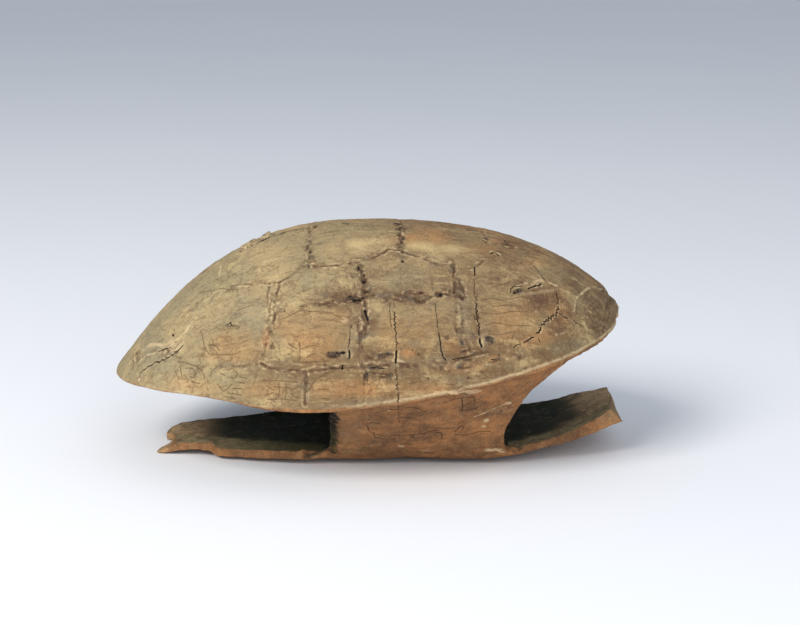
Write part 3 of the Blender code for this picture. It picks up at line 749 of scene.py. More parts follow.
# Raised marks of the near flank: (points, width, height, pale share).
RAISED = (
    (((74.5, 58.5), (75.6, 61.6), (79, 63.3), (84, 63.2), (90, 59.8)), 0.7, 0.35, 0.8),
    (((-83, 41.6), (-79, 44.8), (-73, 46.6), (-68, 49.5), (-65.5, 52), (-64, 54)), 1.3, 0.15,
        0.85),
    (((-84, 38), (-80.5, 41.5), (-76, 43.6), (-70, 45.6), (-66, 49)), 0.8, 0.2, 0.75),
    (((-86, 40), (-84.6, 36), (-82.6, 33.6)), 0.9, 0.15, 0.6),
    (((51, 66.8), (56, 68.4), (63, 68.8), (69, 66.6)), 0.8, 0.4, 0.6),
    (((38.1, 23), (42.3, 25), (46.9, 26.8), (50.5, 28.6)), 0.35, 0.15, 1.0),
    (((42.7, 6.3), (45.9, 6.8), (50.1, 5.4)), 0.7, 0.25, 0.8),
    (((29, 35.6), (33.2, 34.7), (36.5, 34), (39.6, 34.6)), 0.8, 0.45, 1.0),
    ("top", ((-54.2, 11), (-54, 15), (-54.1, 20)), 0.9, 0.35, 0.7),
    (((-34.6, 64), (-33.6, 63.4), (-31.4, 63.8)), 0.8, 0.4, 0.6),
)
# The flake that has lifted off the crest, seen from above.
CREST_FLAKE = ((-45.6, 3.0), (-41.6, 1.0), (-36.6, -2.8))
FLAKE_HALF = 1.7
FLAKE_HEIGHT = 1.5
# The patch of growth rings near the head, as (x, z), and the small notch in the head's rim.
PATCH_HEART = (83.5, 56.5)
PATCH_REACH = 9.0
RING_PITCH = 1.7
HEAD_NOTCH = (93.5, -16.5, 51.0)
NOSE_FROM_X = 87.0
NOSE_RIDGE_Z = 60.5
NOSE_GROOVE_Z = 57.0

# Mossy growth: how wide its strips are on the lobes' floors, strips that also carry painted light,
# and one spot, as (x, z) and halves.
REAR_MOSS_WIDE = 17.0
FRONT_MOSS_WIDE = 13.0
MOSS_SPOT = (-13.6, 7.2)
MOSS_SPOT_HALVES = (3.4, 2.2)

# Where the level band of dark stains and the upright suture go on over the far flank.
STAIN_BAND_Z = 66.0
SUTURE_X = 12.0

# How densely strokes are drawn, and their plainer rows: (seed, heights or places, first and
# last x).
STROKE_STEP = 0.9
FAR_ROWS = (5, (38, 47, 55), (-55, 50))
BELLY_ROWS = (6, (-16, -8, 9, 17), (-45, 40))


def viewed(table):
    """The numbered rows of a table of lines, each with its view, "flank" unless it is given."""
    for number, row in enumerate(table):
        yield number, row if isinstance(row[0], str) else ("flank", *row)


def stepped(points, spacing):
    """A drawn line with a point about every spacing, as rows of two."""
    points = np.array(points, float)
    runs = np.hypot(*np.diff(points, axis=0).T)
    along = np.concatenate([[0], np.cumsum(runs)])
    places = np.linspace(0, along[-1], max(2, int(along[-1] / spacing) + 1))
    return np.stack([np.interp(places, along, points[:, k]) for k in (0, 1)], axis=1)


def shaken(line, swing, seed):
    """A drawn line whose points are thrown aside by up to swing, its ends kept."""
    throws = np.random.default_rng(seed).uniform(-swing, swing, line.shape)
    throws[0] = throws[-1] = 0
    return line + throws


def toothed(line, swing, seed):
    """A drawn line that steps from side to side like the teeth of a suture."""
    way = np.gradient(line, axis=0)
    way /= np.linalg.norm(way, axis=1)[:, None]
    throws = np.random.default_rng(seed).uniform(-0.2, 1.2, len(line)) * swing
    throws[1::2] *= -1
    throws[[0, -1]] = 0
    return line + np.stack([-way[:, 1], way[:, 0]], axis=1) * throws[:, None]


def on_skin(tree, view, side, line):
    """A drawn line brought onto the skin, seen from one flank, from above or from below."""
    places = []
    for x, second in line:
        if view == "flank":
            start, way = (x, side * 200, second), (0, -side, 0)
        elif view == "top":
            start, way = (x, side * second, 200), (0, 0, -1)
        else:
            start, way = (x, side * second, -50), (0, 0, 1)
        hit = tree.ray_cast(Vector(start), Vector(way))[0]
        if hit is not None:
            places.append(tuple(hit))
    return np.array(places)


def seam_lines(tree):
    """The plate seams of both flanks in space, each with its shares and a seed."""
    for number, (view, points, share, welt_share) in viewed(SEAMS):
        for side in (-1, 1):
            seed = 100 + number + (side > 0) * 50
            line = shaken(stepped(points, 4), 0.6, seed + 500)
            line = shaken(stepped(line, 1.1), 0.32, seed)
            yield on_skin(tree, view, side, line), share, welt_share, seed


def crack_lines(tree):
    """The cracks of both flanks in space, each with its width and depth."""
    for side, cracks in ((-1, NEAR_CRACKS), (1, FAR_CRACKS)):
        for number, (view, points, width, depth, swing) in viewed(cracks):
            if swing > TOOTH_FROM:
                line = toothed(stepped(points, TOOTH_PITCH), swing, 200 + number)
            else:
                line = shaken(stepped(points, 0.8), swing, 200 + number)
            yield on_skin(tree, view, side, line), width, depth


def near_lines(tree, table, spacing, swing, seed):
    """The numbered lines of a table on the near flank in space, each with its other values."""
    for number, (view, points, *values) in viewed(table):
        line = shaken(stepped(points, spacing), swing, seed + number)
        yield number, on_skin(tree, view, -1, line), values


def row_strokes(seed, rows, x_range):
    """Rows of plain bars and short arcs, as (x, z) points."""
    dice = np.random.default_rng(seed)
    for z in rows:
        x = x_range[0]
        while x < x_range[1]:
            reach, turn = dice.uniform(1.5, 3.5), dice.uniform(-1.5, 1.5)
            for lift in dice.uniform(-2, 2, int(dice.integers(1, 4))):
                middle = (x + reach / 2 + dice.uniform(-1, 1), z + lift + turn / 3)
                yield ((x, z + lift), middle, (x + reach, z + lift + turn))
            x += dice.uniform(5, 9)


def stroke_lines(tree):
    """All the knife strokes in space: those of the near flank, and plainer rows elsewhere."""
    for number, points in enumerate(NEAR_STROKES):
        line = shaken(stepped(points, STROKE_STEP), 0.07, 400 + number)
        yield on_skin(tree, "flank", -1, line)
    for view, rows in (("flank", FAR_ROWS), ("belly", BELLY_ROWS)):
        for points in row_strokes(*rows):
            yield on_skin(tree, view, 1, stepped(points, STROKE_STEP))


class Skin:
    """The blank's points, with what is carved into them and how they are coloured."""

    MASKS = (
        "ink", "seam", "pale", "crust", "grey", "rust", "under", "inside", "rim",
        "stroke", "moss", "edge", "brown", "lit", "bare",
    )

    def __init__(self, mesh):
        self.points = read(mesh.vertices, "co", 3)
        self.normals = read(mesh.vertex_normals, "vector", 3)
        self.order = np.argsort(self.points[:, 0])
        self.sorted = self.points[self.order]
        self.sorted_x = self.sorted[:, 0].copy()
        self.relief = np.zeros(len(self.points))
        self.masks = {name: np.zeros(len(self.points)) for name in self.MASKS}

    @classmethod
    def threes(cls):
        """The masks' names in threes, as they are kept on the mesh."""
        return [cls.MASKS[first : first + 3] for first in range(0, len(cls.MASKS), 3)]

    def stain(self, name, amount, places=slice(None)):
        """Raises a mask to at least amount."""
        self.masks[name][places] = np.maximum(self.masks[name][places], amount)

    def outside(self):
        """1 on the outer skin and 0 on the inner one."""
        return 1 - self.masks["inside"]

    def flank(self, side):
        """The outer skin of one flank, the near one, -1, or the far one, 1."""
        return (self.points[:, 1] * side > 0) * self.outside()

    def along(self, line, reach):
        """The points within reach of a line in space, how far each is and how far along."""
        steps = len(line) - 1
        span = (line[:, 0].min() - reach, line[:, 0].max() + reach)
        begin, finish = np.searchsorted(self.sorted_x, span)
        distance = np.full(finish - begin, reach)
        where = np.zeros(finish - begin)
        for first in range(0, steps, 6):
            part = line[first : first + 7]
            low, high = part.min(axis=0) - reach, part.max(axis=0) + reach
            ends = np.searchsorted(self.sorted_x, (low[0], high[0]))
            near = self.sorted[ends[0] : ends[1]]
            near = ends[0] + np.nonzero(np.all((near > low) & (near < high), axis=1))[0]
            for step, (start, end) in enumerate(zip(part, part[1:])):
                run = end - start
                gap = self.sorted[near] - start
                t = np.clip(gap @ run / max(run @ run, 1e-9), 0, 1)
                far = np.linalg.norm(gap - t[:, None] * run, axis=1)
                closer = far < distance[near - begin]
                distance[near[closer] - begin] = far[closer]
                where[near[closer] - begin] = (first + step + t[closer]) / steps
        found = np.nonzero(distance < reach)[0]
        return self.order[begin + found], distance[found], where[found]

    def carve(self, line, width, depth, mask, share=1.0, taper=0.0):
        """Cuts a line in space as a soft groove and marks it on a mask."""
        if len(line) < 2:
            return
        places, far, where = self.along(line, 3.2 * width + 0.4)
        fade = np.ones(len(places))
        if taper:
            length = np.linalg.norm(np.diff(line, axis=0), axis=1).sum()
            fade = smooth_step(np.minimum(where, 1 - where) * length, 0, taper)
        cut = depth * bell(far, width) * fade
        self.relief[places] = np.minimum(self.relief[places], self.relief[places] * 0.3 - cut)
        self.stain(mask, share * bell(far, width * 1.15) * fade, places)

    def spots(self, table, ragged, edge=(0.0, 1.2), high=False):
        """How strongly a table of ragged spots covers each point of the near flank.

        The spots' second place is a height, or where high is set a distance from the midline.
        """
        p = self.points
        cover = np.zeros(len(p))
        second = -p[:, 1] if high else p[:, 2]
        flank = self.flank(-1) * ((p[:, 2] > 50) | (not high))
        for x, place, half_x, half, share in table:
            far = np.hypot((p[:, 0] - x) / half_x, (second - place) / half)
            cover = np.maximum(cover, share * smooth_step(1.45 - far + ragged, *edge))
        return cover * flank


def sort_skin(skin):
    """Tells the inside, the tan carapace, the ruddy bridges and plastron, and the rim apart."""
    p, n = skin.points, skin.normals
    x, y, z = p.T
    gap = np.array(CAVITY_HEART) - p
    facing = np.sum(gap * n, axis=1) / np.linalg.norm(gap, axis=1)
    inside = smooth_step(facing, -0.02, 0.25)
    above = z - rim_height(x, y)
    wave = 0.5 * lumps(p, 5, 3)
    under = (1 - smooth_step(above, -0.1, 0.9 + wave)) * (1 - inside)
    front_end = smooth_step(n[:, 0], 0.4, 0.8) * (x > 84) * (z < 35)
    inside = np.maximum(inside, 0.75 * front_end)
    foot = smooth_step(np.abs(y), 30, 32) * (1 - smooth_step(z, 7, 9))
    foot *= 1 - smooth_step(np.abs(x + 20), 5, 7)
    inside *= 1 - foot
    skin.masks["inside"] = inside
    skin.masks["under"] = under
    rim = bell(above - 0.7 - 0.5 * wave, 0.8) * (1 - inside)
    skin.masks["rim"] = rim * smooth_step(x, -42, 22)
    skin.masks["moss"] = np.maximum(
        floor_moss_and_painted_light(skin, above) * (1 - foot), notch_moss(skin, above, foot)
    )
    tail = (1 - smooth_step(x + 4 * rough(p, 8, 7), -68, -48)) * (z < 25)
    head = smooth_step(x + 6 * rough(p, 6, 8), 66, 86) * (z < 35)
    # Lobe floors out past the carapace get a lighter colour: painted light.
    skin.masks["lit"] = np.maximum(tail, head) * inside
    tips = 1 - smooth_step(x + rough(p, 4, 9), REAR_TIP_X + 1.5, REAR_TIP_X + 6)
    skin.masks["bare"] = 0.6 * tips * (z < 20)
    return above


def floor_moss_and_painted_light(skin, above):
    """The mossy strip of both lobes' floors, along their near edge, on the near side and on faces
    turned up: moss, with painted light that lifts it above the dark cavity.
    """
    x, y, _ = skin.points.T
    edge_gap = lobe_half(x, side_of(y)) - np.abs(y)
    behind = x < BRIDGE_WAIST_REAR_X - 1
    lobe = (above < -6) & (behind | (x > BRIDGE_WAIST_FRONT_X + 2))
    wide = np.where(x < 0, REAR_MOSS_WIDE, FRONT_MOSS_WIDE)
    ragged = edge_gap + 2 * rough(skin.points, 4, 5, 3)
    strip = lobe * skin.masks["inside"] * (1 - smooth_step(ragged, wide, wide + 6))
    return strip * ((y < 0) * smooth_step(skin.normals[:, 2], 0.1, 0.5))


def notch_moss(skin, above, foot):
    """Mossy growth on the bridges' ends, in the leg notches, and one spot by the rear notch; high
    in the notches the material adds painted shade.
    """
    p = skin.points
    x, y, z = p.T
    ends = smooth_step(np.abs(skin.normals[:, 0]), 0.35, 0.7) * (above < -5) * (np.abs(y) > 28)
    ends = ends * (x > -26) * (x < 62) * (z > 6)
    tucked = smooth_step(BRIDGE_TUCK_FROM_X - x + 2.4 * rough(p, 3, 6), -0.5, 3.5)
    tucked = tucked * (above < -3.5) * (x > -26) * (np.abs(y) > 26) * (z > 5)
    corner = (z < 9) * (1 - smooth_step(x + lumps(p, 2, 12), -18.5, -16))
    ends = np.maximum(ends, tucked) * (1 - corner * (x > -30)) * (1 - foot)
    spot_x, spot_z = MOSS_SPOT
    far = np.hypot((x - spot_x) / MOSS_SPOT_HALVES[0], (z - spot_z) / MOSS_SPOT_HALVES[1])
    spot = smooth_step(1 - far + 0.5 * lumps(p, 1.6, 13), 0, 0.6)
    ends = np.maximum(ends, 0.8 * spot * (y < -20) * (1 - skin.masks["inside"]))
    return ends * np.where(x < 20, 1.0, 0.6)


def body_relief(skin, above):
    """The bone's own unevenness: gentle swells, roughness, the lip at the rim, chipped edges."""
    p = skin.points
    x, y, z = p.T
    inside, under = skin.masks["inside"], skin.masks["under"]
    outside = 1 - inside
    relief = -0.34 + 0.26 * rough(p, 16, 11, 2) + 0.11 * rough(p, 5, 21, 4)
    relief += inside * 0.5 * rough(p, 9, 31, 3)
    relief += 0.05 * lumps(p, 1.1, 41)
    lip = bell(above - 0.8, 1.4) * smooth_step(x, -30, 0) - 0.4 * bell(above - 5, 2.2)
    grain = lumps(p * (0.16, 1, 1), 1.7, 44) * (0.5 + bell(z - 44, 9))
    crest = bell(y - 4, 14) * (z > 50) * rough(p, 3.4, 49, 3)
    front = smooth_step(x, 60, 80) * under * lumps(p * (0.2, 1, 1), 1.6, 43)
    skin.relief += relief + 0.35 * lip * outside * (1 - 0.8 * under)
    skin.relief += outside * (0.1 * grain + 0.32 * crest) + 0.25 * front
    skin.relief += 0.2 * inside * rough(p, 3, 33, 3)
    skin.relief += skin.masks["moss"] * (0.35 * rough(p, 2.2, 45, 3) - 0.15)
    lobe = (above < -8) & (np.abs(y) > 10)
    broken = smooth_step(np.abs(y) - lobe_half(x, side_of(y)), -2.5, 0)
    skin.relief += lobe * broken * (0.3 * rough(p, 3.2, 47, 3) - 0.1)


def cut_seams(skin, tree):
    """The plate seams: an uneven groove between low pale welts, with a ragged stain."""
    for line, share, welt_share, seed in seam_lines(tree):
        if len(line) < 2:
            continue
        places, far, _ = skin.along(line, 5.0)
        p = skin.points[places]
        uneven = np.clip(0.5 + 0.9 * lumps(p, 5, seed) + 0.5 * lumps(p, 1.6, seed + 1), 0, 1.4)
        shift = 0.5 * lumps(p, 3, seed + 2)
        welt = bell(far - 1.0 - shift, 0.42) * welt_share * uneven
        welt *= np.clip(0.7 + 0.6 * lumps(p, 1.0, seed + 5), 0, 1.2)
        groove = bell(far, 0.36) * share * np.clip(0.4 + 0.7 * uneven, 0, 1.2)
        second = bell(far - 2.2 - 1.5 * shift, 0.28) * share * np.clip(lumps(p, 4, seed + 3), 0, 1)
        halo = bell(far, 2.2) * share * np.clip(0.35 + 1.1 * rough(p, 2.6, seed + 4, 3), 0, 1)
        skin.relief[places] += 0.28 * welt - 0.5 * groove - 0.25 * second
        skin.stain("pale", 0.7 * welt, places)
        skin.stain("seam", np.maximum(np.maximum(groove, 0.7 * second), 0.5 * halo), places)
        skin.stain("brown", halo, places)


def cut_belly(skin, tree):
    """The midline and cross seams of the plastron."""
    for number, (points, share) in enumerate(BELLY_SEAMS):
        for side in (-1, 1):
            line = on_skin(tree, "belly", side, shaken(stepped(points, 1.2), 0.3, 300 + number))
            skin.carve(line, 0.4, 0.5 * share, "seam", share=share)


def raise_marks(skin, tree):
    """Pale scars and ridges that stand out of the near flank."""
    for number, line, (width, height, share) in near_lines(tree, RAISED, 1.0, 0.15, 600):
        places, far, _ = skin.along(line, 3 * width)
        p = skin.points[places]
        uneven = np.clip(0.8 + 0.5 * rough(p, 1.8, 620 + number, 2), 0, 1.2)
        skin.relief[places] += height * bell(far, width) * uneven
        skin.stain("pale", share * bell(far, width) * uneven, places)


def raise_flake(skin, tree):
    """A long flake that has lifted off the crest, with painted shadow in the gap under its near
    side.
    """
    line = on_skin(tree, "top", -1, stepped(CREST_FLAKE, 0.8))
    places, far, where = skin.along(line, 4.0)
    p = skin.points[places]
    uneven = 0.3 * lumps(p, 2.4, 641)
    skin.relief[places] += FLAKE_HEIGHT * smooth_step(FLAKE_HALF + uneven - far, 0, 0.5)
    flake = smooth_step(FLAKE_HALF + 0.6 - far, 0, 0.4)
    skin.stain("grey", 0.7 * flake, places)
    skin.stain("brown", 0.35 * flake * np.clip(0.6 + lumps(p, 1.8, 642), 0, 1), places)
    skin.stain("seam", 0.55 * flake * np.clip(0.5 + 0.8 * lumps(p, 1.5, 643), 0, 1), places)
    # Painted shadow: the gap under the flake's near side is lowered and stained near-black.
    near = p[:, 1] < np.interp(where, (0, 1), line[[0, -1], 1])
    gap = bell(far - FLAKE_HALF - 0.3, 0.8) * near * (0.25 + 0.75 * bell(where - 0.68, 0.22))
    gap *= 1 - smooth_step(where, 0.88, 0.96)
    skin.relief[places] -= 1.1 * gap
    skin.stain("ink", np.clip(1.5 * gap, 0, 1), places)


def shape_head(skin):
    """The head end: a patch of growth rings, a small notch, and a ridge over a groove."""
    p = skin.points
    x, _, z = p.T
    far = np.hypot(x - PATCH_HEART[0], z - PATCH_HEART[1])
    near = skin.flank(-1) * (1 - smooth_step(far, PATCH_REACH - 3, PATCH_REACH))
    rings = np.sin(far * 2 * np.pi / RING_PITCH + 2.2 * lumps(p, 5, 81))
    skin.relief += 0.09 * rings * near
    skin.stain("seam", np.clip(-rings - 0.4, 0, 1) * near * 0.6)
    notch = np.linalg.norm(p - np.array(HEAD_NOTCH), axis=1)
    skin.relief -= 1.5 * bell(notch, 1.5)
    nose = smooth_step(x, NOSE_FROM_X, NOSE_FROM_X + 3) * skin.outside()
    ridge, groove = bell(z - NOSE_RIDGE_Z, 1.6), bell(z - NOSE_GROOVE_Z, 1.3)
    skin.relief += nose * (0.25 * ridge - 0.7 * groove)


def add_zones(skin):
    """Warm, brown, grey and pale clouds on the near flank, gentler ones elsewhere."""
    p = skin.points
    x, y, z = p.T
    broad = rough(p, 20, 95, 4)
    away = skin.flank(1)
    browner = away * np.clip(0.8 * rough(p, 18, 96, 4), 0, 0.7) * smooth_step(x, -40, 40)
    crown = skin.outside() * (1 - smooth_step(np.abs(y), 6, 20))
    crown = crown * smooth_step(x, 0, 25) * (z > 55)
    warm = skin.spots(WARM_ZONES, 0.45 * rough(p, 7, 91, 4))
    grey = skin.spots(GREY_ZONES, 0.45 * rough(p, 5, 93, 4))
    skin.stain("rust", warm + away * np.clip(broad, 0, 0.6))
    skin.stain("rust", 0.5 * crown * np.clip(0.6 + rough(p, 8, 97, 4), 0, 1))
    skin.stain("brown", skin.spots(BROWN_ZONES, 0.45 * rough(p, 6, 92, 4)))
    skin.stain("brown", 0.6 * crown * np.clip(0.5 - rough(p, 9, 98, 4), 0, 1))
    skin.stain("brown", browner)
    skin.stain("grey", grey + away * np.clip(-broad, 0, 0.5))
    skin.stain("pale", skin.spots(PALE_ZONES, 0.5 * rough(p, 3, 94, 4)))
    skin.stain("bare", skin.spots(GOLD_ZONES, 0.3 * rough(p, 5, 99, 3), high=True))


def crumble(skin, tree):
    """Rotten, crumbly bone along the worst seams: pits, pale crumbs and knobbly relief."""
    p = skin.points
    ragged = 0.85 * rough(p, 4.2, 121, 4)
    cover = np.zeros(len(p))
    strands = rough(p, 2.6, 131, 3)
    for number, line, (width, share) in near_lines(tree, CRUMBLE_LINES, 2, 0.4, 800):
        places, far, where = skin.along(line, 2.4 * width)
        band = share * smooth_step(1.3 - far / width + ragged[places], 0, 1.0)
        length = np.linalg.norm(np.diff(line, axis=0), axis=1).sum()
        across = far + 0.6 * ragged[places]
        place = np.stack([where * length / 2.8, across / 0.6, 0 * far], axis=1)
        wins = places[band > cover[places]]
        strands[wins] = lumps(place, 1.0, 140 + number)[band > cover[places]]
        cover[places] = np.maximum(cover[places], band)
    far_bands = bell(p[:, 2] - STAIN_BAND_Z, 2.0)
    far_bands = far_bands + bell(p[:, 0] - SUTURE_X, 1.6) * (p[:, 2] > 45)
    cover = np.maximum(cover, 0.8 * skin.flank(1) * far_bands * smooth_step(ragged, -0.1, 0.4))
    crumbs = 0.7 * strands + 0.45 * rough(p, 1.9, 133, 3)
    patchy = smooth_step(rough(p, 5.0, 137, 2), -0.25, 0.3)
    skin.relief += cover * (0.5 * crumbs - 0.08)
    skin.stain("seam", cover * smooth_step(-crumbs, 0.06, 0.5))
    skin.stain("brown", cover * patchy)
    # The hollows between crumbs are stained near-black: dirt with painted shade.
    skin.stain("ink", 0.8 * cover * patchy * smooth_step(-crumbs, 0.5, 0.75))
    skin.stain("pale", 0.5 * cover * smooth_step(crumbs, 0.15, 0.55))
    skin.stain("grey", 0.6 * cover * (1 - patchy))


def add_crust(skin, tree):
    """Dark knobbly earth that sticks to the near flank, and thinly along the far stain band."""
    p = skin.points
    ragged = 0.6 * rough(p, 3.4, 61, 4) + 0.3 * rough(p, 1.1, 65, 2)
    crust = skin.spots(NEAR_CRUST, ragged - 0.1, edge=(0.1, 0.8))
    crust = np.maximum(crust, skin.spots(CREST_CRUST, ragged - 0.1, edge=(0.1, 0.8), high=True))
    for _, line, (width, share) in near_lines(tree, STAIN_LINES, 2, 0.5, 700):
        places, far, _ = skin.along(line, 3.5 * width)
        band = share * smooth_step(0.9 - far / width + 1.8 * ragged[places], 0, 1.0)
        crust[places] = np.maximum(crust[places], band)
    away = skin.flank(1) * bell(p[:, 2] - STAIN_BAND_Z, 2.5) * (np.abs(p[:, 0]) < 45)
    patches = smooth_step(ragged + 0.5 * lumps(p, 14, 63), 0.2, 0.8)
    crust = np.maximum(crust, 0.8 * away * patches)
    skin.stain("crust", crust)
    knobs = np.maximum(0, lumps(p, 1.5, 71))
    pits = np.maximum(0, lumps(p, 1.7, 72) - 0.35)
    skin.relief += crust * (0.4 * knobs - 0.6 * pits)
    # The crust's pits are stained near-black: dirt with painted shade.
    skin.stain("ink", crust * smooth_step(pits, 0.08, 0.32) * smooth_step(crust, 0.55, 0.9))
    # Pits: dug in and stained near-black, dirt with painted shade in each hole.
    for x, z, size in PITS:
        far = np.hypot(p[:, 0] - x, (p[:, 2] - z) * 1.2) * (1 + 0.3 * lumps(p, 1.2, 75))
        hole = bell(far, size * 0.8) * skin.flank(-1)
        skin.relief -= 0.6 * hole * size
        skin.stain("ink", hole)


# How far a point stands out at a ridge's full mask, and how far short of the box the ends stay.
EDGE_SPAN = 0.05
LENGTH_SPARE = 0.05


def neighbour_mean(values, edges):
    """The mean of each point's neighbours' values."""
    count = len(values)
    total = np.zeros_like(values)
    number = np.bincount(edges.ravel(), minlength=count)
    for axis in range(values.shape[1]):
        for one, other in ((0, 1), (1, 0)):
            total[:, axis] += np.bincount(
                edges[:, one], weights=values[edges[:, other], axis], minlength=count
            )
    return total / np.maximum(number, 1)[:, None]


def find_edges(skin, mesh):
    """Marks ridges and hollows by how far each point stands out of its neighbours."""
    pairs = np.zeros(len(mesh.edges) * 2, np.int32)
    mesh.edges.foreach_get("vertices", pairs)
    pairs = pairs.reshape(-1, 2)
    standing = np.sum((skin.points - neighbour_mean(skin.points, pairs)) * skin.normals, axis=1)
    for _ in range(3):
        standing = neighbour_mean(standing[:, None], pairs)[:, 0]
    # The material makes ridges paler and hollows darker from this mask: wear with painted
    # highlight, and painted shade.
    skin.masks["edge"] = np.clip(0.5 + standing / EDGE_SPAN, 0, 1)


def refine(blank, tree):
    """Splits the skin's cells along cracks and strokes, so that thin cuts come out clean."""
    skin = Skin(blank.data)
    fine = np.zeros(len(skin.points), bool)
    lines = [line for line, _, _ in crack_lines(tree)] + list(stroke_lines(tree))
    for line in lines:
        if len(line) > 1:
            fine[skin.along(line, 0.9)[0]] = True
    bm = bmesh.new()
    bm.from_mesh(blank.data)
    edges = [e for e in bm.edges if fine[e.verts[0].index] and fine[e.verts[1].index]]
    bmesh.ops.subdivide_edges(bm, edges=edges, cuts=1, use_grid_fill=True)
    bm.to_mesh(blank.data)
    bm.free()


def thin_out(blank, hidden, detail):
    """Thins the hidden faces first, then all of them, the plainest soonest."""
    plain = 1 - np.round(detail * DETAIL_LEVELS) / DETAIL_LEVELS
    weights = {"hidden": hidden * 1.0, "plain": plain}
    for name, share in weights.items():
        group = blank.vertex_groups.new(name=name)
        for level in np.unique(share):
            group.add([int(index) for index in np.nonzero(share == level)[0]], level, "REPLACE")
    blank.data.calc_loop_triangles()
    total = len(blank.data.loop_triangles)
    seen = total * (1 - hidden.mean())
    first = blank.modifiers.new("thin_hidden", "DECIMATE")
    first.vertex_group = "hidden"
    first.ratio = min(1.0, (seen + HIDDEN_TRIANGLES) / total)
    left = total * first.ratio
    last = blank.modifiers.new("thin_all", "DECIMATE")
    last.vertex_group = "plain"
    last.vertex_group_factor = DETAIL_HELD
    last.ratio = min(1.0, KEPT_TRIANGLES / left)
    return finished(blank, "weathered_shell")


# How long the ends of cuts run out, and how wide and deep a stroke is.
CRACK_TAPER = 1.0
STROKE_WIDTH = 0.2
STROKE_DEPTH = 0.24
STROKE_TAPER = 0.5
# The faces that are turned away and thinned most, and how much each mask keeps of the rest.
HIDDEN_FROM_Y = 12.0
HIDDEN_FACING = -0.6
DETAIL_LEVELS = 8
DETAIL_SHARES = (("stroke", 1.0), ("ink", 1.0), ("seam", 0.8), ("crust", 0.6), ("pale", 0.4))


def weathered_shell():
    """The finished piece, carved, coloured by masks and thinned, in metres."""
    blank = fused_blank()
    bm = bmesh.new()
    bm.from_mesh(blank.data)
    tree = BVHTree.FromBMesh(bm)
    bm.free()
    refine(blank, tree)
    skin = Skin(blank.data)
    above = sort_skin(skin)
    body_relief(skin, above)
    cut_seams(skin, tree)
    cut_belly(skin, tree)
    raise_marks(skin, tree)
    raise_flake(skin, tree)
    shape_head(skin)
    add_zones(skin)
    crumble(skin, tree)
    add_crust(skin, tree)
    # Cracks: cut as grooves and stained near-black, dirt with painted shade in the gap.
    for line, width, depth in crack_lines(tree):
        skin.carve(line, width, depth, "ink", taper=CRACK_TAPER)
    for line in stroke_lines(tree):
        skin.carve(line, STROKE_WIDTH, STROKE_DEPTH, "stroke", taper=STROKE_TAPER)
    moved = skin.points + skin.normals * skin.relief[:, None]
    moved[:, 2] = np.clip(moved[:, 2], 0, CREST_Z)
    ends = HALF_LENGTH - LENGTH_SPARE
    moved[:, 0] = np.clip(moved[:, 0], -ends, ends)
    hidden = (skin.masks["inside"] > 0.5) | (skin.points[:, 1] > HIDDEN_FROM_Y)
    hidden |= (skin.normals[:, 2] < HIDDEN_FACING) & (skin.points[:, 1] > -LOBE_SEEN_Y)
    detail = np.max([skin.masks[name] * share for name, share in DETAIL_SHARES], axis=0)
    skin.points = moved
    find_edges(skin, blank.data)
    blank.data.vertices.foreach_set("co", moved.astype(np.float32).ravel())
    for names in Skin.threes():
        layer = blank.data.attributes.new("_".join(names), "FLOAT_COLOR", "POINT")
        rows = np.ones((len(moved), 4), np.float32)
        for place, name in enumerate(names):
            rows[:, place] = skin.masks[name]
        layer.data.foreach_set("color", rows.ravel())
    blank.data.update()
    shell = thin_out(blank, hidden, detail * ~hidden)
    shell.data.transform(Matrix.Scale(1 / METRE, 4))
    shell.data.shade_smooth()
    return shell


class Signal:
    """An output of a material's node, so that sums of outputs can be written as sums."""

    def __init__(self, paint, socket):
        self.paint = paint
        self.socket = socket

    def _math(self, operation, first, second):
        node = self.paint.node("ShaderNodeMath", {"operation": operation}, {0: first, 1: second})
        return Signal(self.paint, node.outputs[0])

    def __add__(self, other):
        return self._math("ADD", self, other)

    def __sub__(self, other):
        return self._math("SUBTRACT", self, other)

    def __rsub__(self, other):
        return self._math("SUBTRACT", other, self)

    def __mul__(self, other):
        return self._math("MULTIPLY", self, other)

    def clamped(self):
        return Signal(self.paint, self.paint.node("ShaderNodeClamp", {}, {0: self}).outputs[0])

    __radd__ = __add__
    __rmul__ = __mul__


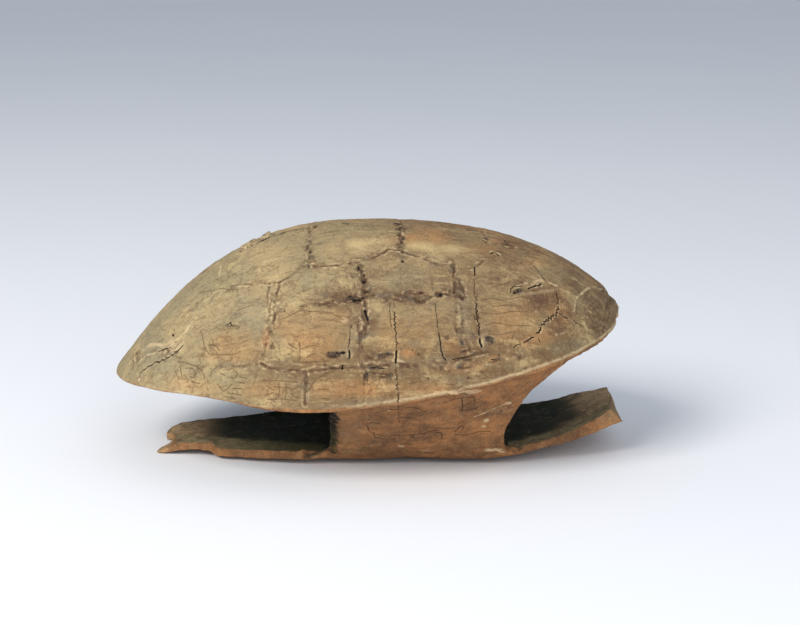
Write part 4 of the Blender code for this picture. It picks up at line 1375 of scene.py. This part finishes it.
class Paint:
    """A material whose nodes are made one after another."""

    def __init__(self, name):
        self.material = bpy.data.materials.new(name)
        self.material.use_nodes = True
        self.tree = self.material.node_tree
        self.tree.nodes.clear()

    def node(self, kind, settings, inputs):
        """Makes a node: its settings first, then the values or links of its sockets."""
        made = self.tree.nodes.new(kind)
        for name, value in settings.items():
            setattr(made, name, value)
        for name, value in inputs.items():
            if isinstance(value, Signal):
                self.tree.links.new(value.socket, made.inputs[name])
            else:
                made.inputs[name].default_value = value
        return made

    def place(self):
        """The point on the object, in metres."""
        return Signal(self, self.node("ShaderNodeTexCoord", {}, {}).outputs["Object"])

    def apart(self, place):
        """A point's X, Y and Z, in metres, as three signals."""
        split = self.node("ShaderNodeSeparateXYZ", {}, {0: place})
        return [Signal(self, output) for output in split.outputs]

    def masks(self, *names):
        """Three masks that are kept together on the mesh, as three signals."""
        kept = self.node("ShaderNodeAttribute", {"attribute_name": "_".join(names)}, {})
        split = self.node("ShaderNodeSeparateColor", {}, {0: Signal(self, kept.outputs["Color"])})
        return [Signal(self, output) for output in split.outputs]

    def noise(self, place, size, detail=4.0, roughness=0.6, stretch=(1, 1, 1)):
        """Noise from 0 to 1 with lumps about size across, in metres."""
        scale = tuple(part / size for part in stretch)
        spread = self.node("ShaderNodeMapping", {}, {"Vector": place, "Scale": scale})
        inputs = {"Vector": Signal(self, spread.outputs[0]), "Scale": 1.0}
        inputs |= {"Detail": detail, "Roughness": roughness}
        made = self.node("ShaderNodeTexNoise", {}, inputs)
        return Signal(self, made.outputs["Fac"])

    def ramp(self, value, low, high):
        """0 where value is under low, 1 over high, and soft between."""
        inputs = {"Value": value, "From Min": low, "From Max": high}
        made = self.node("ShaderNodeMapRange", {"interpolation_type": "SMOOTHSTEP"}, inputs)
        return Signal(self, made.outputs[0])

    def mix(self, share, first, second):
        """One colour or another, by share."""
        made = self.node("ShaderNodeMix", {"data_type": "RGBA"}, {0: share, 6: first, 7: second})
        return Signal(self, made.outputs[2])

    def layers(self, base, *coats):
        """A colour with coats over it, each a share and a colour, the last on top."""
        for share, colour in coats:
            base = self.mix(share, base, colour)
        return base

    def bump(self, height, depth):
        """A normal from a height of depth metres."""
        inputs = {"Height": height, "Distance": depth, "Strength": 1.0}
        return Signal(self, self.node("ShaderNodeBump", {}, inputs).outputs[0])

    def surface(self, **inputs):
        """The Principled shader, with its inputs named in full."""
        named = {name.replace("_", " "): value for name, value in inputs.items()}
        shader = self.node("ShaderNodeBsdfPrincipled", {}, named)
        self.node("ShaderNodeOutputMaterial", {}, {"Surface": Signal(self, shader.outputs[0])})
        return self.material


def tone(red, green, blue):
    """A colour from the 0 to 255 values of a swatch."""
    parts = (part / 255 for part in (red, green, blue))
    linear = [p / 12.92 if p <= 0.04045 else ((p + 0.055) / 1.055) ** 2.4 for p in parts]
    return (*linear, 1.0)


BONE_TAN = tone(174, 152, 112)
BONE_OLIVE = tone(156, 142, 106)
BONE_FRONT = tone(145, 122, 87)
BONE_FLANK = tone(116, 92, 62)
BONE_WARM = tone(184, 132, 82)
BONE_BROWN = tone(98, 71, 50)
BONE_GREY = tone(134, 125, 102)
BONE_YELLOW = tone(204, 178, 128)
RUDDY = tone(174, 121, 75)
RUDDY_DARK = tone(118, 82, 54)
RUDDY_GREY = tone(148, 118, 84)
CREAM = tone(212, 186, 144)
# Near-black for cracks, pits and gaps: dirt with painted shade in the recesses.
DIRT_AND_SHADE_BLACK = tone(24, 19, 15)
# Brown for seams and hairlines, and for painted shade in hollows.
SEAM_STAIN_AND_SHADE_BROWN = tone(88, 64, 48)
STROKE_BROWN = tone(88, 66, 42)
STROKE_DARK = tone(54, 38, 26)
CRUST_PURPLE = tone(86, 62, 44)
CRUST_BLACK = tone(34, 29, 26)
CRUST_GREY = tone(108, 98, 82)
# The pale and floor moss colours are lightened where light reaches the lobe floors: painted light.
MOSS_PALE_PAINTED_LIGHT = tone(178, 158, 118)
MOSS_GREY = tone(126, 108, 78)
MOSS_FLOOR_PAINTED_LIGHT = tone(92, 92, 52)
MOSS_GREEN = tone(56, 54, 30)
MOSS_DARK = tone(22, 26, 14)
# The lobe floors' colour, lightened to stand in for the light they catch: painted light.
LOBE_PAINTED_LIGHT = tone(204, 168, 126)
# The cavity's colours: dark grime with painted shade.
CAVITY_GRIME_AND_SHADE = tone(46, 46, 32)
CAVITY_GREEN_GRIME_AND_SHADE = tone(36, 46, 28)


def old_bone():
    """Dry matt bone: tan above, ruddy below, dark inside with grime and painted shade, stained
    along its seams.
    """
    paint = Paint("old_bone")
    ramp, mix, noise, layers = paint.ramp, paint.mix, paint.noise, paint.layers
    place = paint.place()
    along, _, high = paint.apart(place)
    mask = {}
    for names in Skin.threes():
        mask.update(zip(names, paint.masks(*names)))
    under, inside, edge, moss = mask["under"], mask["inside"], mask["edge"], mask["moss"]

    cloudy = noise(place, 0.012, 7, 0.72)
    patchy = noise(place, 0.0046, 7, 0.75)
    speckle = noise(place, 0.0016, 6, 0.8)
    grit = noise(place, 0.0008, 3, 0.8)
    streak = noise(place, 0.0042, 6, 0.75, (0.2, 1, 1))
    vein = noise(place, 0.009, 5, 0.6) - 0.5
    thread = noise(place, 0.006, 4, 0.55, (0.35, 1, 1)) - 0.5
    break_up = (speckle - 0.5) * 1.1 + (patchy - 0.5) * 0.9
    clouds = (cloudy - 0.5) * 2.4

    flank = ramp(high + cloudy * 0.01, 0.069, 0.05) * ramp(along, -0.075, 0.0)
    tan = layers(
        mix(ramp(noise(place, 0.034, 4), 0.4, 0.6), BONE_TAN, BONE_OLIVE),
        (ramp(along, -0.06, 0.05), BONE_FRONT),
        (flank * 0.88, BONE_FLANK),
        (ramp(cloudy, 0.5, 0.68) * 0.55, BONE_YELLOW),
        (ramp(patchy, 0.5, 0.68) * 0.45, BONE_GREY),
        ((break_up * 1.2 + clouds * 0.8 + 0.72) * mask["rust"], BONE_WARM),
        ((break_up * 1.2 - clouds * 0.5 + 0.65) * mask["grey"], BONE_GREY),
        ((break_up * 1.3 - clouds * 0.6 + 0.82) * mask["brown"], BONE_BROWN),
    )
    ruddy = layers(
        mix(ramp(cloudy, 0.36, 0.64), RUDDY, RUDDY_DARK),
        (ramp(streak, 0.4, 0.62) * 0.35, RUDDY_DARK),
        (ramp(patchy, 0.5, 0.66) * 0.4, RUDDY_GREY),
        ((mask["grey"] + break_up * 0.9) * mask["grey"], RUDDY_GREY),
    )

    hairline = ramp(vein * vein, 0.0004, 0.0) * ramp(cloudy, 0.42, 0.56)
    finer = ramp(thread * thread, 0.0008, 0.0) * ramp(cloudy, 0.58, 0.42)
    cut = mix(under, STROKE_BROWN, STROKE_DARK)
    crusted = mix(ramp(patchy, 0.48, 0.62), CRUST_PURPLE, CRUST_GREY)
    skin = layers(
        mix(under, tan, ruddy),
        (ramp(mask["rim"] + break_up * 1.1, 0.4, 1.0) * 0.48, CREAM),
        (ramp(streak, 0.52, 0.68) * (1 - under * 0.5) * 0.5, BONE_BROWN),
        (ramp(streak, 0.47, 0.32) * (1 - under) * 0.45, BONE_YELLOW),
        (ramp(speckle, 0.5, 0.68) * 0.24, BONE_BROWN),
        (ramp(speckle, 0.5, 0.3) * 0.16, BONE_YELLOW),
        (ramp(grit, 0.52, 0.72) * 0.24, BONE_BROWN),
        (ramp(grit, 0.48, 0.3) * 0.1, CREAM),
        ((hairline + finer * 0.6).clamped() * 0.5, SEAM_STAIN_AND_SHADE_BROWN),
        # Ridges paler, as rubbed wear with painted highlight; hollows darker, as painted shade.
        (ramp(edge, 0.58, 0.9) * (1 - under) * 0.5, CREAM),
        (ramp(edge, 0.44, 0.15) * (0.75 - under * 0.5), SEAM_STAIN_AND_SHADE_BROWN),
        (ramp(mask["pale"] + break_up * 0.8, 0.25, 0.85) * 0.7, CREAM),
        (ramp(mask["seam"] + break_up * 0.9, 0.25, 0.9) * 0.8, SEAM_STAIN_AND_SHADE_BROWN),
        (ramp(mask["stroke"], 0.25, 0.75) * (under * 0.2 + 0.65), cut),
        (ramp(mask["crust"] + break_up * 1.8, 0.1, 0.85) * 0.8, crusted),
        (ramp(mask["crust"] + break_up * 2.2, 0.75, 1.3) * 0.9, CRUST_BLACK),
    )

    mouldy = ramp(patchy + cloudy, 0.9, 1.06) * ramp(along, 0.0, 0.06)
    mouldy = mouldy * ramp(along + cloudy * 0.02, 0.098, 0.082)
    # The lobe floors past the carapace, lightened: painted light over their moss and mould.
    painted_lit_floor = layers(
        mix(ramp(patchy, 0.44, 0.62) * 0.8, LOBE_PAINTED_LIGHT, MOSS_GREY),
        (ramp(speckle, 0.5, 0.66) * 0.35, MOSS_DARK),
        (mouldy * 0.8, MOSS_DARK),
    )
    # Inside the shell: dark grime with painted shade, where the carapace hides it from the light.
    dark = layers(
        mix(ramp(cloudy, 0.4, 0.6), CAVITY_GRIME_AND_SHADE, CAVITY_GREEN_GRIME_AND_SHADE),
        (ramp(patchy + speckle * 0.6, 0.82, 0.98) * 0.5, MOSS_GREY),
        ((mask["lit"] + break_up * 0.8) * mask["lit"], painted_lit_floor),
    )
    spread = ramp(break_up, -0.06, 0.1)
    # Notch moss, darkening to near-black high up under the carapace: painted shade.
    shaded = layers(
        mix(spread, MOSS_GREEN, MOSS_DARK),
        (ramp(high + break_up * 0.006, 0.013, 0.02) * 0.9, DIRT_AND_SHADE_BLACK),
    )
    # The lobe floors' moss strip, lighter than the cavity: moss with painted light.
    greener = ramp(along + cloudy * 0.02, -0.045, -0.02) * ramp(along, 0.06, 0.0)
    floor = mix(greener * 0.8, mix(spread, MOSS_PALE_PAINTED_LIGHT, MOSS_GREY), MOSS_FLOOR_PAINTED_LIGHT)
    skin = layers(
        mix(inside, skin, dark),
        # Moss: on the lobe floors a lighter strip with painted light; outside, in the notches,
        # green with painted shade high up.
        ((moss + break_up * 0.8) * moss, mix(inside, shaded, floor)),
        (ramp(edge + break_up * 0.3, 0.62, 0.9) * moss * 0.5, RUDDY_GREY),
        ((mask["bare"] * 0.85 + break_up * 0.6) * mask["bare"], BONE_YELLOW),
        # Cracks, pits and gaps go near-black: dirt with painted shade.
        (ramp(mask["ink"], 0.4, 0.8), DIRT_AND_SHADE_BLACK),
    )
    height = speckle * 0.45 + streak * 0.5 + patchy * 0.9 + grit * 0.12
    bump = paint.bump(height, 0.0011)
    return paint.surface(Base_Color=skin, Roughness=0.88, Specular_IOR_Level=0.2, Normal=bump)


def floor_finish():
    """Plain pale paper with the faintest mottle."""
    paint = Paint("pale_floor")
    soft = paint.noise(paint.place(), 0.4, 2)
    shade = paint.mix(soft, tone(236, 236, 238), tone(230, 231, 234))
    return paint.surface(Base_Color=shade, Roughness=0.95, Specular_IOR_Level=0.1)


def make_floor():
    """A wide plain floor under the shell."""
    bm = bmesh.new()
    bmesh.ops.create_grid(bm, x_segments=1, y_segments=1, size=6)
    floor = new_object("floor", bm)
    floor.data.materials.append(floor_finish())


def soft_light(name, place, aim, size, power, colour):
    """A square soft box that looks at a point."""
    lamp = bpy.data.lights.new(name, "AREA")
    lamp.size = size
    lamp.energy = power
    lamp.color = colour
    made = placed(name, lamp)
    made.location = place
    made.rotation_euler = (Vector(aim) - Vector(place)).to_track_quat("-Z", "Y").to_euler()


def light_studio(heart):
    """A large soft light from the upper left, a weak one from the right, and a pale room."""
    soft_light("key", (-0.85, -0.95, 1.05), heart, 0.8, 25, (1.0, 0.97, 0.93))
    soft_light("fill", (0.3, -1.5, 0.55), heart, 1.0, 11, (0.97, 0.98, 1.0))
    world = bpy.data.worlds.new("pale_room")
    world.use_nodes = True
    backdrop = world.node_tree.nodes["Background"]
    backdrop.inputs["Color"].default_value = tone(205, 214, 226)
    backdrop.inputs["Strength"].default_value = 0.72
    bpy.context.scene.world = world


# The camera: how far it stands, how high it looks down, how far it is turned, its lens.
CAMERA_DISTANCE = 0.76
CAMERA_RISE = math.radians(12)
CAMERA_TURN = math.radians(1.3)
CAMERA_AIM = (0.0125, 0.0, 0.0505)
CAMERA_LENS = 90.5


def make_camera():
    """Looks at the shell's right flank, a little from above."""
    level = math.cos(CAMERA_RISE)
    turned = (math.sin(CAMERA_TURN) * level, math.cos(CAMERA_TURN) * level)
    ahead = Vector((*turned, -math.sin(CAMERA_RISE)))
    camera = placed("camera", bpy.data.cameras.new("camera"))
    camera.data.lens = CAMERA_LENS
    camera.location = Vector(CAMERA_AIM) - ahead * CAMERA_DISTANCE
    camera.rotation_euler = ahead.to_track_quat("-Z", "Y").to_euler()
    bpy.context.scene.camera = camera


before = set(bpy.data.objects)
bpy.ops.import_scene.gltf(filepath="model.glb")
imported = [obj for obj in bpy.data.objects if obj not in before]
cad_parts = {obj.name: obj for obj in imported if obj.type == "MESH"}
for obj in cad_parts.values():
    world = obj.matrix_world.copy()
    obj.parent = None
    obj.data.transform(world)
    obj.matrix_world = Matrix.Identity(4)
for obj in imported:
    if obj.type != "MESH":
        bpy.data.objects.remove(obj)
cad_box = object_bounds()
make_camera()
shell = weathered_shell()
shell.data.materials.clear()
shell.data.materials.append(old_bone())
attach(shell, "root")
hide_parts("turtle_shell")
make_floor()
light_studio((cad_box[0] + cad_box[1]) / 2)
bpy.context.scene.view_settings.view_transform = "Standard"
